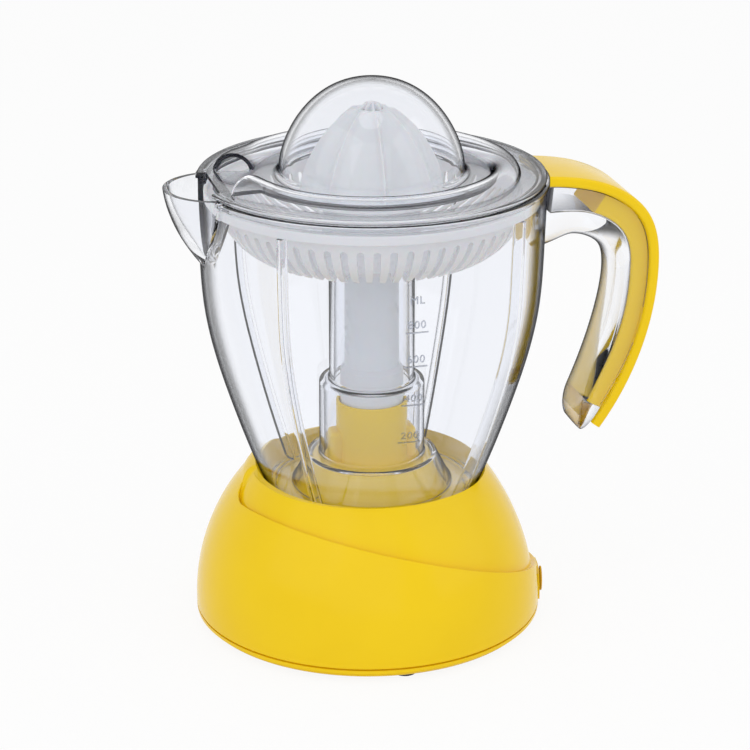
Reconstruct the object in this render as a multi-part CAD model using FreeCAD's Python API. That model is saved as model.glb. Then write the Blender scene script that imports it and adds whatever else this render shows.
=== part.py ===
"""Citrus press juicer: a motor base, a clear jug with a strainer, two reamer cones and a domed dust cover.

Millimetres, +Z up, spout towards -X and handle towards +X. The pieces are drawn about the drive axis
and moved together at the end, so that the origin lies on the table below the middle of the whole object.
"""
import FreeCAD, Part
import math
import os

os.makedirs("parts", exist_ok=True)
Vector = FreeCAD.Vector
UP = Vector(0, 0, 1)

# Clearances
SEAT_GAP = 0.2          # between pieces that stand on each other and lift apart
RUN_GAP = 0.5           # between pieces that move past each other
SHAFT_FIT = 0.06        # radial clearance of a shaft in its bush
PRESS_TRAVEL = 2.5      # how far the cone goes down before the motor starts

# Feet and bottom cover
FOOT_HEIGHT = 2.0
FOOT_RADIUS = 5.5
FOOT_CHAMFER = 0.5
FOOT_CIRCLE = 65.0
FOOT_COUNT = 4
FOOT_STEM_RADIUS = 2.0
COVER_THICKNESS = 2.0
COVER_INSET = 1.7        # how far the bottom cover's edge stands inside the skirt's
COVER_ROUND = 1.6
COVER_RIM_HEIGHT = 3.0
COVER_RIM_WALL = 1.6
VENT_COUNT = 6
VENT_WIDTH = 2.4
VENT_LENGTH = 22.0
VENT_PITCH = 5.5

# Base housing
BASE_RADIUS = 75.3
BASE_OFFSET = 1.9        # the base stands this much nearer the spout than the drive axis
SKIRT_SHOULDER_RADIUS = 55.4
SKIRT_SHOULDER_HEIGHT = 65.4
SKIRT_BULGE = 6.0
SKIRT_RIM_RADIUS = 47.0
SKIRT_RIM_HEIGHT = 72.0
SKIRT_RIM_BULGE = 1.5
CROWN_INSET = 1.4        # how far the crown's foot stands inside the skirt's
CROWN_RIM_RADIUS = 50.5
CROWN_RIM_HEIGHT = 68.8
CROWN_BULGE = 5.5
HOUSING_WALL = 2.6
SWEEP_HEIGHT = 41.5      # of the swept step, on the drive axis
SWEEP_TILT = 18.9        # degrees
SWEEP_AZIMUTH = 27.5     # the way the step runs down
COLLAR_AZIMUTH = 163.0   # where the skirt stays full height, below the spout
COLLAR_HALF_WIDTH = 17.0
COLLAR_CORNER = 14.0
BASE_GROOVE = 0.5
WELL_FLOOR = 58.5
WELL_FLOOR_WALL = 2.2
WELL_CLEARANCE = 0.8
MOUND_RADIUS = 32.0
MOUND_TOP_RADIUS = 25.0
MOUND_RISE = 15.0
BOSS_RADIUS = 15.4
BOSS_RISE = 41.5         # of the boss above the well floor
BOSS_WALL = 1.5
BOSS_CHAMFER = 0.8
CUP_FLOOR_WALL = 2.0
LOBE_REACH = 18.9
LOBE_WIDTH = 11.0
LOBE_RISE = 28.5
NECK_RADIUS = 10.0
BUSH_RADIUS = 7.0

# Lead inlet on the handle side, left without a lead
INLET_AZIMUTH = -12.0
INLET_HEIGHT = 13.0
INLET_PLATE_WIDTH = 18.0
INLET_PLATE_HEIGHT = 12.0
INLET_PLATE_PROUD = 0.6
GROMMET_RADIUS = 4.2
GROMMET_BORE = 3.1
GROMMET_FLANGE = 1.2
GROMMET_LENGTH = 11.0

# Screws
COVER_SCREW_RADIUS = 1.6
COVER_SCREW_LENGTH = 13.0
COVER_POST_RADIUS = 4.0
COVER_POST_X = 52.0
COVER_POST_Y = 30.0
PLATE_SCREW_RADIUS = 1.5
PLATE_POST_RADIUS = 3.6
SCREW_HEAD = 1.8         # head radius over the thread radius
SCREW_HEAD_HEIGHT = 1.4
SCREW_FIT = 0.05

# Gear train: module and teeth of the two meshes
FIRST_MODULE = 0.75
FIRST_PINION_TEETH = 10
FIRST_WHEEL_TEETH = 40
SECOND_MODULE = 1.0
SECOND_PINION_TEETH = 10
SECOND_WHEEL_TEETH = 36
PRESSURE_ANGLE = 25.0
ADDENDUM = 0.8           # in modules
DEDENDUM = 1.05
BACKLASH = 0.18          # in modules
WHEEL_FACE = 5.0
GEAR_PLATE_HEIGHT = 48.0
GEAR_PLATE_THICKNESS = 2.0
GEAR_PLATE_MARGIN = 5.5
IDLER_AXLE_RADIUS = 2.5
IDLER_HUB_RADIUS = 5.0

# Motor, behind the drive axis
MOTOR_DISTANCE = 38.0
STACK_BOTTOM = 10.0
STACK_HEIGHT = 16.0
STACK_HALF_WIDTH = 17.0
STACK_LENGTH = 54.0
STACK_LEG = 8.0
WINDOW_LENGTH = 14.0
ROTOR_RADIUS = 11.9
ROTOR_AIR_GAP = 0.5
ROTOR_END_GAP = 0.8
ROTOR_SHAFT_RADIUS = 1.6
COIL_DEPTH = 4.0
BOBBIN_WALL = 1.0
BRACKET_THICKNESS = 1.5
BRACKET_CUP_RADIUS = 5.0
BRACKET_CUP_DEPTH = 3.0
STUD_RADIUS = 1.5
STUD_SPACER_RADIUS = 3.0
STUD_NUT_HEIGHT = 2.0

# Spindle, thrust plate and switch
SPINDLE_RADIUS = 4.0
DOG_ACROSS_FLATS = 12.0
DOG_HEIGHT = 16.0
DOG_FIT = 0.1
COLLAR_RING_RADIUS = 6.5
COLLAR_RING_HEIGHT = 2.6
GUIDE_BORE = 8.5
GUIDE_WALL = 1.6
GUIDE_HEIGHT = 10.0
THRUST_HEIGHT = 15.0     # top of the thrust plate
THRUST_THICKNESS = 2.5
ARM_WIDTH = 5.0
ARM_REACH = 21.5
SPRING_WIDTH = 6.0
SPRING_THICKNESS = 0.5
SPRING_REACH = 27.0
SWITCH_LENGTH = 12.0
SWITCH_WIDTH = 9.0
SWITCH_HEIGHT = 5.5
SWITCH_NEAR = 15.0       # from the drive axis to the switch's near end
PLUNGER_RADIUS = 1.2
PLUNGER_LENGTH = 5.3

# Jug
JUG_FOOT_RADIUS = 44.6
JUG_SHOULDER_RADIUS = 71.3
JUG_SHOULDER_RISE = 85.0
JUG_WALL_BULGE = 2.6
JUG_RIM_RADIUS = 73.7
JUG_HEIGHT = 139.8
JUG_NECK_BULGE = 0.4
JUG_WALL = 2.2
JUG_LIP = 0.9
JUG_LIP_HEIGHT = 2.2
JUG_FOOT_RING = 2.1
JUG_FOOT_RING_DEPTH = 1.8
COLUMN_FOOT_RADIUS = 27.6
COLUMN_LOWER_RADIUS = 22.7
COLUMN_STEP_RISE = 50.8  # of the step above the jug's foot
COLUMN_UPPER_RADIUS = 18.3
COLUMN_WALL = 2.0
COLUMN_RISE = 123.0
RIB_WIDTH = 2.6
RIB_DEPTH = 4.5
RIB_DROP = 8.6           # from the rim to the rib tops that carry the strainer
TAB_WIDTH = 6.0
TAB_DEPTH = 1.6
TAB_HEIGHT = 6.0
SPOUT_REACH = 88.5
SPOUT_HALF_WIDTH = 23.0
SPOUT_DEPTH = 32.5
SPOUT_START = 0.8        # half width and reach past the wall at the spout's lower end
SPOUT_CURVE = 0.85       # below 1 the spout's front bows outwards
SPOUT_LEVELS = 4

# Handle
HANDLE_REACH = 122.6
HANDLE_HALF_WIDTH = 18.0
HANDLE_COVER_WALL = 4.5
HANDLE_TOP_DROP = 0.6    # below the jug's rim
HANDLE_SHOULDER_REACH = 97.0
HANDLE_SHOULDER_DROP = 5.0
HANDLE_BELLY_DROP = 46.0
HANDLE_END_REACH = 97.0
HANDLE_END_DROP = 115.5
HANDLE_BELLY_BULGE = 9.5
HANDLE_TAIL_BULGE = 5.5
GRIP_HALF_WIDTH = 17.0
GRIP_DEPTHS = (26.5, 26.0, 25.0, 19.0, 13.0, 11.5, 6.5, 3.4)  # from the jug to the open end
GRIP_TOE = 3.0           # how far the grip reaches past the cover
GRIP_WALL = 2.2
GRIP_ROUND = 9.0
HANDLE_CORE_START = 98.5  # the grip is clear from the jug to here
HANDLE_CORE_DEPTH = 12.0

# Drive shaft
SHAFT_RADIUS = 11.8
SHAFT_SKIRT_RADIUS = 13.6
SHAFT_SKIRT_TOP = 114.0
SHAFT_WALL = 1.8
SHAFT_FLAT = 20.0        # across the two flats that drive the cones
SHAFT_TOP_RISE = 13.0    # above the cones' lower edge

# Strainer
STRAINER_FIT = 0.9
STRAINER_WALL = 1.8
STRAINER_BAND = 4.0
STRAINER_BAND_WALL = 1.6
STRAINER_BOWL_RADIUS = 65.5
STRAINER_FLOOR_RADIUS = 49.0
STRAINER_DEPTH = 22.4
STRAINER_BULGE = 3.5
STRAINER_FLOOR_RISE = 5.0
STRAINER_HUB_DROP = 3.0
SLOT_COUNT = 60
SLOT_WIDTH = 3.0
SLOT_TOP_DROP = 4.5
SLOT_INNER_RADIUS = 44.0

# Cones
CONE_RADIUS = 31.0
CONE_HEIGHT = 33.5
CONE_TOP_RADIUS = 8.0
CONE_BULGE = 4.0
CONE_WALL = 2.4
CONE_RIM = 2.4
FLUTE_COUNT = 8
FLUTE_DEPTH = 1.8
FLUTE_ROUND = 1.6        # radius of a flute over half the distance between two ribs
SMALL_CONE_RADIUS = 24.0
SMALL_CONE_TIP_RISE = 39.0
SMALL_CONE_NUB = 4.4
CONE_GAP = 0.4

# Dust cover
LID_WALL = 1.7
LID_BRIM_RADIUS = 73.4
LID_SKIRT_FIT = 0.5
LID_SKIRT_DEPTH = 3.0
LID_RING_OUTER = 63.3
LID_RING_INNER = 59.3
LID_RING_RISE = 6.0
LID_TROUGH_RISE = 1.5
DOME_RADIUS = 38.2
DOME_RISE = 42.0
DOME_BULGE = 13.0
ARCH_RADIUS = 8.6
ARCH_INNER_END = 56.0
ARCH_OUTER_END = 69.0
LID_NOTCH_HALF_ANGLE = 13.0

# Places worked out from the sizes above
cover_top = FOOT_HEIGHT + COVER_THICKNESS
well_ceiling = WELL_FLOOR - WELL_FLOOR_WALL
mound_top = WELL_FLOOR + MOUND_RISE
cup_floor = mound_top + CUP_FLOOR_WALL
boss_top = WELL_FLOOR + BOSS_RISE
jug_foot = WELL_FLOOR + SEAT_GAP
jug_rim = jug_foot + JUG_HEIGHT
jug_shoulder = jug_foot + JUG_SHOULDER_RISE
rib_top = jug_rim - RIB_DROP
strainer_seat = rib_top + SEAT_GAP
strainer_floor = strainer_seat - STRAINER_DEPTH
strainer_hub_top = strainer_seat - STRAINER_HUB_DROP
cone_foot = strainer_hub_top + PRESS_TRAVEL + RUN_GAP
shaft_foot = cup_floor + PRESS_TRAVEL + RUN_GAP
shaft_top = cone_foot + SHAFT_TOP_RISE
dog_foot = shaft_foot + RUN_GAP
dog_top = dog_foot + DOG_HEIGHT
gear_plate_top = GEAR_PLATE_HEIGHT + GEAR_PLATE_THICKNESS
second_centres = SECOND_MODULE * (SECOND_PINION_TEETH + SECOND_WHEEL_TEETH) / 2
first_centres = FIRST_MODULE * (FIRST_PINION_TEETH + FIRST_WHEEL_TEETH) / 2
idler_y = (second_centres**2 - first_centres**2 + MOTOR_DISTANCE**2) / (2 * MOTOR_DISTANCE)
idler_x = math.sqrt(second_centres**2 - idler_y**2)
idler_wheel_top = GEAR_PLATE_HEIGHT - PRESS_TRAVEL
idler_wheel_foot = idler_wheel_top - WHEEL_FACE
output_gear_top = idler_wheel_foot - 2 * RUN_GAP
output_gear_foot = output_gear_top - WHEEL_FACE
idler_pinion_foot = output_gear_foot - PRESS_TRAVEL - RUN_GAP
stack_top = STACK_BOTTOM + STACK_HEIGHT
stack_bore = ROTOR_RADIUS + ROTOR_AIR_GAP
stack_end_x = STACK_HALF_WIDTH
stack_far_x = STACK_HALF_WIDTH - STACK_LENGTH
window_near_x = stack_far_x + STACK_LEG + WINDOW_LENGTH
window_half_height = STACK_HALF_WIDTH - STACK_LEG
stud_offset = STACK_HALF_WIDTH - STUD_RADIUS - RUN_GAP - SCREW_HEAD + SCREW_FIT
STUD_PLACES = [
    (stud_offset, MOTOR_DISTANCE + stud_offset),
    (-stud_offset, MOTOR_DISTANCE + stud_offset),
    (-stud_offset, MOTOR_DISTANCE - stud_offset),
]
PLATE_POSTS = [(-25.0, -12.0), (25.0, -12.0), (27.5, 27.0), (-27.5, 27.0)]
COVER_POSTS = [(sx * COVER_POST_X, sy * COVER_POST_Y) for sx in (-1, 1) for sy in (-1, 1)]
BEYOND = 200.0           # longer than any cut through the object


def outline(start, *steps):
    """A closed face in the XZ plane.

    A step is a point, a pair of points for an arc through the first,
    or a list of points for a smooth curve.
    """
    edges = []
    here = start
    for step in steps:
        if isinstance(step, list):
            end = step[-1]
            curve = Part.BSplineCurve()
            curve.interpolate([flat(place) for place in [here] + step])
            edges.append(curve.toShape())
        elif isinstance(step[0], tuple):
            middle, end = step
            edges.append(Part.Arc(flat(here), flat(middle), flat(end)).toShape())
        else:
            end = step
            if flat(here).distanceToPoint(flat(end)) > 1e-6:
                edges.append(Part.LineSegment(flat(here), flat(end)).toShape())
        here = end
    if flat(here).distanceToPoint(flat(start)) > 1e-6:
        edges.append(Part.LineSegment(flat(here), flat(start)).toShape())
    return Part.Face(Part.Wire(edges))


def flat(place):
    """A point of the XZ plane from its distance from the axis and its height."""
    return Vector(place[0], 0, place[1])


def turned(face, x=0.0):
    """The face turned about the vertical line at x."""
    solid = face.revolve(Vector(0, 0, 0), UP, 360)
    solid.translate(Vector(x, 0, 0))
    return solid


def bulged(low, high, rise):
    """The middle of an arc from low to high that stands out by rise."""
    run = math.hypot(high[0] - low[0], high[1] - low[1])
    out = ((high[1] - low[1]) / run, (low[0] - high[0]) / run)
    return ((low[0] + high[0]) / 2 + rise * out[0], (low[1] + high[1]) / 2 + rise * out[1])


def rod(radius, low, high, x=0.0, y=0.0):
    """An upright cylinder between two heights."""
    return Part.makeCylinder(radius, high - low, Vector(x, y, low))


def sleeve(outer, inner, low, high, x=0.0, y=0.0):
    """An upright tube between two heights."""
    return rod(outer, low, high, x, y).cut(rod(inner, low - 1, high + 1, x, y))


def block(x0, x1, y0, y1, z0, z1):
    """A box between two corners."""
    return Part.makeBox(x1 - x0, y1 - y0, z1 - z0, Vector(x0, y0, z0))


def prism(points, low, high):
    """A straight prism on a polygon of the XY plane."""
    corners = [Vector(x, y, low) for x, y in points]
    face = Part.Face(Part.makePolygon(corners + corners[:1]))
    return face.extrude(Vector(0, 0, high - low))


def hexagon(across_flats, low, high):
    """An upright six-sided bar."""
    radius = across_flats / math.sqrt(3)
    turns = [math.radians(60 * i) for i in range(6)]
    corners = [(radius * math.cos(turn), radius * math.sin(turn)) for turn in turns]
    return prism(corners, low, high)


def around(shape, degrees, centre=Vector(0, 0, 0)):
    """A copy of the shape turned about an upright line."""
    copy = shape.copy()
    copy.rotate(centre, UP, degrees)
    return copy


def involute(angle):
    """The involute function of an angle in radians."""
    return math.tan(angle) - angle


def gear(module, teeth, low, high, tooth_at):
    """A spur gear on the origin's axis, with a tooth pointing at tooth_at degrees."""
    pitch = module * teeth / 2
    pressure = math.radians(PRESSURE_ANGLE)
    base = pitch * math.cos(pressure)
    tip = pitch + ADDENDUM * module
    root = pitch - DEDENDUM * module
    half_at_pitch = math.pi / (2 * teeth) - BACKLASH * module / (4 * pitch)
    start = max(base, root)

    def half_angle(radius):
        return half_at_pitch + involute(pressure) - involute(math.acos(min(1.0, base / radius)))

    def place(radius, angle):
        return Vector(radius * math.cos(angle), radius * math.sin(angle), low)

    edges = []
    step = 2 * math.pi / teeth
    for i in range(teeth):
        centre = math.radians(tooth_at) + i * step
        radii = (start, (start + tip) / 2, tip)
        right = [place(r, centre - half_angle(r)) for r in radii]
        left = [place(r, centre + half_angle(r)) for r in reversed(radii)]
        foot_right = place(root, centre - half_angle(start))
        foot_left = place(root, centre + half_angle(start))
        next_foot = place(root, centre + step - half_angle(start))
        if root < base:
            edges.append(Part.LineSegment(foot_right, right[0]).toShape())
        edges.append(Part.Arc(*right).toShape())
        edges.append(Part.Arc(right[2], place(tip, centre), left[0]).toShape())
        edges.append(Part.Arc(*left).toShape())
        if root < base:
            edges.append(Part.LineSegment(left[2], foot_left).toShape())
        edges.append(Part.Arc(foot_left, place(root, centre + step / 2), next_foot).toShape())
    return Part.Face(Part.Wire(edges)).extrude(Vector(0, 0, high - low))


# Base

def skirt_solid(grow=0.0):
    """The base's outer form up to its full-height rim, filled."""
    foot = (BASE_RADIUS + grow, cover_top)
    shoulder = (SKIRT_SHOULDER_RADIUS + grow, SKIRT_SHOULDER_HEIGHT)
    rim = (SKIRT_RIM_RADIUS + grow, SKIRT_RIM_HEIGHT)
    face = outline(
        (0, cover_top),
        foot,
        (bulged(foot, shoulder, SKIRT_BULGE), shoulder),
        (bulged(shoulder, rim, SKIRT_RIM_BULGE), rim),
        (0, SKIRT_RIM_HEIGHT),
    )
    return turned(face, -BASE_OFFSET)


def crown_solid(inset=0.0):
    """The base's inner form above the swept step, filled."""
    foot = (BASE_RADIUS - CROWN_INSET - inset, cover_top)
    rim = (CROWN_RIM_RADIUS - inset, CROWN_RIM_HEIGHT)
    face = outline((0, cover_top), foot, (bulged(foot, rim, CROWN_BULGE), rim), (0, CROWN_RIM_HEIGHT))
    return turned(face, -BASE_OFFSET)


def sweep_cutters():
    """What is taken off the skirt above the swept step, on both sides of the full-height collar."""
    front = block(-BEYOND, BEYOND, COLLAR_HALF_WIDTH, BEYOND, 0, BEYOND)
    back = block(-BEYOND, BEYOND, -BEYOND, -COLLAR_HALF_WIDTH, 0, BEYOND)
    far = block(-BEYOND, 0, -BEYOND, BEYOND, 0, BEYOND)
    cutters = []
    for part, side in ((front, COLLAR_HALF_WIDTH), (back, -COLLAR_HALF_WIDTH)):
        corner = [e for e in part.Edges if e.CenterOfMass.distanceToPoint(Vector(0, side, 0)) < 1e-3]
        cutters.append(part.makeFillet(COLLAR_CORNER, corner))
    cutters.append(far)
    downhill = math.radians(SWEEP_AZIMUTH)
    hinge = Vector(-math.sin(downhill), math.cos(downhill), 0)
    for part in cutters:
        part.rotate(Vector(0, 0, 0), UP, COLLAR_AZIMUTH)
        part.rotate(Vector(0, 0, 0), hinge, SWEEP_TILT)
        part.translate(Vector(0, 0, SWEEP_HEIGHT))
    return cutters


def jug_wall_points(grow=0.0):
    """Foot, shoulder and rim of the jug's wall, moved out by grow."""
    foot = (JUG_FOOT_RADIUS + grow, jug_foot)
    shoulder = (JUG_SHOULDER_RADIUS + grow, jug_shoulder)
    rim = (JUG_RIM_RADIUS + grow, jug_rim)
    return foot, shoulder, rim


def jug_form(grow, low, high):
    """The jug's outer form moved out by grow, filled, between two heights."""
    foot, shoulder, rim = jug_wall_points(grow)
    face = outline(
        (0, foot[1] - BEYOND),
        (foot[0], foot[1] - BEYOND),
        foot,
        [bulged(foot, shoulder, JUG_WALL_BULGE), shoulder, bulged(shoulder, rim, JUG_NECK_BULGE), rim],
        (rim[0], rim[1] + BEYOND),
        (0, rim[1] + BEYOND),
    )
    return turned(face).common(rod(BEYOND, low, high))


def base_housing():
    """The moulded base: swept skirt, crown, jug well, centre boss and the posts inside."""
    skirt = skirt_solid()
    for cutter in sweep_cutters():
        skirt = skirt.cut(cutter)
    crown = crown_solid()
    body = crown.fuse(skirt)
    body = body.cut(crown_solid(HOUSING_WALL).common(rod(BEYOND, 0, well_ceiling)))
    body = body.cut(jug_form(WELL_CLEARANCE, WELL_FLOOR, jug_shoulder))
    mound = turned(outline(
        (0, well_ceiling),
        (MOUND_RADIUS, well_ceiling),
        (MOUND_RADIUS, WELL_FLOOR),
        (MOUND_TOP_RADIUS, mound_top),
        (BOSS_RADIUS, mound_top),
        (BOSS_RADIUS, boss_top - BOSS_CHAMFER),
        (BOSS_RADIUS - BOSS_CHAMFER, boss_top),
        (0, boss_top),
    ))
    body = body.fuse(mound)
    lobe_top = WELL_FLOOR + LOBE_RISE
    lobe = block(-LOBE_REACH, LOBE_REACH, -LOBE_WIDTH / 2, LOBE_WIDTH / 2, mound_top - 1, lobe_top)
    body = body.fuse(lobe.common(rod(LOBE_REACH, mound_top - 1, boss_top)))
    under = turned(outline(
        (NECK_RADIUS, well_ceiling - 1),
        (MOUND_RADIUS - HOUSING_WALL, well_ceiling - 1),
        (MOUND_RADIUS - HOUSING_WALL, WELL_FLOOR - WELL_FLOOR_WALL),
        (MOUND_TOP_RADIUS - HOUSING_WALL, mound_top - WELL_FLOOR_WALL),
        (NECK_RADIUS, mound_top - WELL_FLOOR_WALL),
    ))
    body = body.cut(under)
    body = body.cut(rod(BOSS_RADIUS - BOSS_WALL, cup_floor, boss_top + 1))
    body = body.cut(rod(BUSH_RADIUS, well_ceiling - 1, cup_floor))
    body = body.cut(rod(SPINDLE_RADIUS + RUN_GAP, well_ceiling - 1, cup_floor + 1))
    for x, y in PLATE_POSTS:
        body = body.fuse(rod(PLATE_POST_RADIUS, gear_plate_top, well_ceiling + 1, x, y))
        body = body.cut(rod(PLATE_SCREW_RADIUS + SCREW_FIT, gear_plate_top - 1, well_ceiling, x, y))
    for x, y in COVER_POSTS:
        body = body.fuse(rod(COVER_POST_RADIUS, cover_top, CROWN_RIM_HEIGHT, x, y).common(crown))
        top = cover_top + COVER_SCREW_LENGTH + 1
        body = body.cut(rod(COVER_SCREW_RADIUS + SCREW_FIT, cover_top - 1, top, x, y))
    groove_top = cover_top + BASE_GROOVE
    groove = sleeve(BASE_RADIUS + 1, BASE_RADIUS - BASE_GROOVE, cover_top - 1, groove_top, -BASE_OFFSET)
    body = body.cut(groove)
    body = body.cut(inlet_bar(GROMMET_RADIUS + SCREW_FIT, BASE_RADIUS / 2, BEYOND))
    return body.removeSplitter()


def bottom_cover():
    """The plate that closes the base, with its locating rim, thrust guide, vents and screw holes."""
    edge = BASE_RADIUS - COVER_INSET
    under, side = (edge - COVER_ROUND, FOOT_HEIGHT), (edge, FOOT_HEIGHT + COVER_ROUND)
    curve = bulged(under, side, COVER_ROUND * (1 - math.sqrt(0.5)))
    face = outline((0, FOOT_HEIGHT), under, (curve, side), (edge, cover_top), (0, cover_top))
    plate = turned(face, -BASE_OFFSET)
    rim_outer = BASE_RADIUS - CROWN_INSET - HOUSING_WALL - RUN_GAP
    rim_inner = rim_outer - COVER_RIM_WALL
    rim = sleeve(rim_outer, rim_inner, cover_top - 1, cover_top + COVER_RIM_HEIGHT, -BASE_OFFSET)
    grommet_room = inlet_bar(GROMMET_RADIUS + RUN_GAP, BASE_RADIUS / 2, BEYOND)
    plate = plate.fuse(rim.cut(grommet_room))
    guide = sleeve(GUIDE_BORE + GUIDE_WALL, GUIDE_BORE, cover_top - 1, cover_top + GUIDE_HEIGHT)
    slot = max(ARM_WIDTH, SPRING_WIDTH) / 2 + RUN_GAP
    guide = guide.cut(block(-BEYOND, BEYOND, -slot, slot, cover_top, BEYOND))
    plate = plate.fuse(guide.common(rod(BEYOND, FOOT_HEIGHT, BEYOND)))
    for x, y in COVER_POSTS:
        plate = plate.cut(rod(COVER_SCREW_RADIUS + SCREW_FIT, 0, BEYOND, x, y))
        head = COVER_SCREW_RADIUS + SCREW_HEAD + SCREW_FIT
        plate = plate.cut(rod(head, 0, FOOT_HEIGHT + SCREW_HEAD_HEIGHT, x, y))
    for x, y in foot_places():
        plate = plate.cut(rod(FOOT_STEM_RADIUS + SCREW_FIT, 0, BEYOND, x, y))
    for i in range(VENT_COUNT):
        x = (i - (VENT_COUNT - 1) / 2) * VENT_PITCH
        y0 = MOTOR_DISTANCE - VENT_LENGTH / 2
        half = VENT_WIDTH / 2
        plate = plate.cut(block(x - half, x + half, y0, y0 + VENT_LENGTH, 0, cover_top + 1))
    return plate.removeSplitter()


def foot_places():
    """Centres of the feet."""
    turns = [2 * math.pi * i / FOOT_COUNT for i in range(FOOT_COUNT)]
    return [(FOOT_CIRCLE * math.cos(a) - BASE_OFFSET, FOOT_CIRCLE * math.sin(a)) for a in turns]


def rubber_feet():
    """Round feet, each with a stem pressed into the bottom cover."""
    feet = []
    for x, y in foot_places():
        pad = Part.makeCone(FOOT_RADIUS - FOOT_CHAMFER, FOOT_RADIUS, FOOT_CHAMFER, Vector(x, y, 0))
        pad = pad.fuse(rod(FOOT_RADIUS, FOOT_CHAMFER, FOOT_HEIGHT, x, y))
        feet.append(pad.fuse(rod(FOOT_STEM_RADIUS, FOOT_HEIGHT - 1, cover_top, x, y)).removeSplitter())
    return Part.makeCompound(feet)


def cover_screws():
    """Screws that hold the bottom cover to the housing's posts."""
    screws = []
    for x, y in COVER_POSTS:
        head_top = FOOT_HEIGHT + SCREW_HEAD_HEIGHT
        head = rod(COVER_SCREW_RADIUS + SCREW_HEAD, FOOT_HEIGHT, head_top, x, y)
        thread = rod(COVER_SCREW_RADIUS, FOOT_HEIGHT, cover_top + COVER_SCREW_LENGTH, x, y)
        screws.append(head.fuse(thread).removeSplitter())
    return Part.makeCompound(screws)


def inlet_bar(radius, near, far):
    """A round bar that points out through the lead inlet."""
    angle = math.radians(INLET_AZIMUTH)
    way = Vector(math.cos(angle), math.sin(angle), 0)
    start = Vector(-BASE_OFFSET, 0, INLET_HEIGHT) + way * near
    return Part.makeCylinder(radius, far - near, start, way)


def skirt_reach(low, high):
    """How far the skirt stands out from the base's own axis between two heights."""
    band = skirt_solid().common(rod(BEYOND, low, high))
    return band.optimalBoundingBox(False).XMax + BASE_OFFSET


def inlet_plate():
    """The raised plate round the lead inlet, lying on the skirt."""
    sheet = skirt_solid(INLET_PLATE_PROUD).cut(skirt_solid())
    low = INLET_HEIGHT - INLET_PLATE_HEIGHT / 2
    window = block(0, BEYOND, -INLET_PLATE_WIDTH / 2, INLET_PLATE_WIDTH / 2, low, low + INLET_PLATE_HEIGHT)
    window.rotate(Vector(0, 0, 0), UP, INLET_AZIMUTH)
    window.translate(Vector(-BASE_OFFSET, 0, 0))
    plate = sheet.common(window)
    return plate.cut(inlet_bar(GROMMET_RADIUS + SCREW_FIT, BASE_RADIUS / 2, BEYOND))


def inlet_grommet():
    """Rubber grommet through the housing's wall, bored for a lead."""
    flange = GROMMET_RADIUS + GROMMET_FLANGE
    face = skirt_reach(INLET_HEIGHT - flange, INLET_HEIGHT + flange) + INLET_PLATE_PROUD + SEAT_GAP
    body = inlet_bar(GROMMET_RADIUS, face - GROMMET_LENGTH, face)
    body = body.fuse(inlet_bar(flange, face, face + INLET_PLATE_PROUD))
    return body.cut(inlet_bar(GROMMET_BORE, BASE_RADIUS / 2, BEYOND)).removeSplitter()


# Gear plate and motor

def gear_plate():
    """The steel plate that hangs from the housing's posts and carries the motor and the gears."""
    reach_x = PLATE_POSTS[2][0] + GEAR_PLATE_MARGIN
    rear_y = STUD_PLACES[0][1] + STUD_SPACER_RADIUS
    rear_x = STUD_PLACES[0][0] + STUD_SPACER_RADIUS
    front_y = PLATE_POSTS[0][1] - GEAR_PLATE_MARGIN
    mid_y = PLATE_POSTS[2][1] + GEAR_PLATE_MARGIN
    right = [(reach_x, front_y), (reach_x, mid_y), (rear_x, rear_y)]
    corners = right + [(-x, y) for x, y in reversed(right)]
    plate = prism(corners, GEAR_PLATE_HEIGHT, gear_plate_top)
    plate = plate.cut(rod(COLLAR_RING_RADIUS + 2 * RUN_GAP, 0, BEYOND))
    plate = plate.cut(rod(IDLER_AXLE_RADIUS, 0, BEYOND, idler_x, idler_y))
    for x, y in STUD_PLACES:
        plate = plate.cut(rod(STUD_RADIUS + SCREW_FIT, 0, BEYOND, x, y))
    for x, y in PLATE_POSTS:
        plate = plate.cut(rod(PLATE_SCREW_RADIUS + SCREW_FIT, 0, BEYOND, x, y))
    return plate


def plate_screws():
    """Screws from below that hold the gear plate to the housing's posts."""
    screws = []
    for x, y in PLATE_POSTS:
        head_foot = GEAR_PLATE_HEIGHT - SCREW_HEAD_HEIGHT
        head = rod(PLATE_SCREW_RADIUS + SCREW_HEAD, head_foot, GEAR_PLATE_HEIGHT, x, y)
        thread = rod(PLATE_SCREW_RADIUS, head_foot, well_ceiling - 1, x, y)
        screws.append(head.fuse(thread).removeSplitter())
    return Part.makeCompound(screws)


def stator_core():
    """Laminated C-shaped core with the rotor's bore and the coil's window."""
    y0 = MOTOR_DISTANCE - STACK_HALF_WIDTH
    y1 = MOTOR_DISTANCE + STACK_HALF_WIDTH
    core = block(stack_far_x, stack_end_x, y0, y1, STACK_BOTTOM, stack_top)
    core = core.cut(rod(stack_bore, 0, BEYOND, 0, MOTOR_DISTANCE))
    low = MOTOR_DISTANCE - window_half_height
    high = MOTOR_DISTANCE + window_half_height
    core = core.cut(block(stack_far_x + STACK_LEG, window_near_x, low, high, 0, BEYOND))
    for x, y in STUD_PLACES:
        core = core.cut(rod(STUD_RADIUS + SCREW_FIT, 0, BEYOND, x, y))
    return core


def leg_box(grow, trim):
    """The core's coil leg moved out by grow and shortened by trim at each end."""
    low = MOTOR_DISTANCE - window_half_height + trim
    high = MOTOR_DISTANCE + window_half_height - trim
    x0 = stack_far_x - grow
    x1 = stack_far_x + STACK_LEG + grow
    return block(x0, x1, low, high, STACK_BOTTOM - grow, stack_top + grow)


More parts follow.
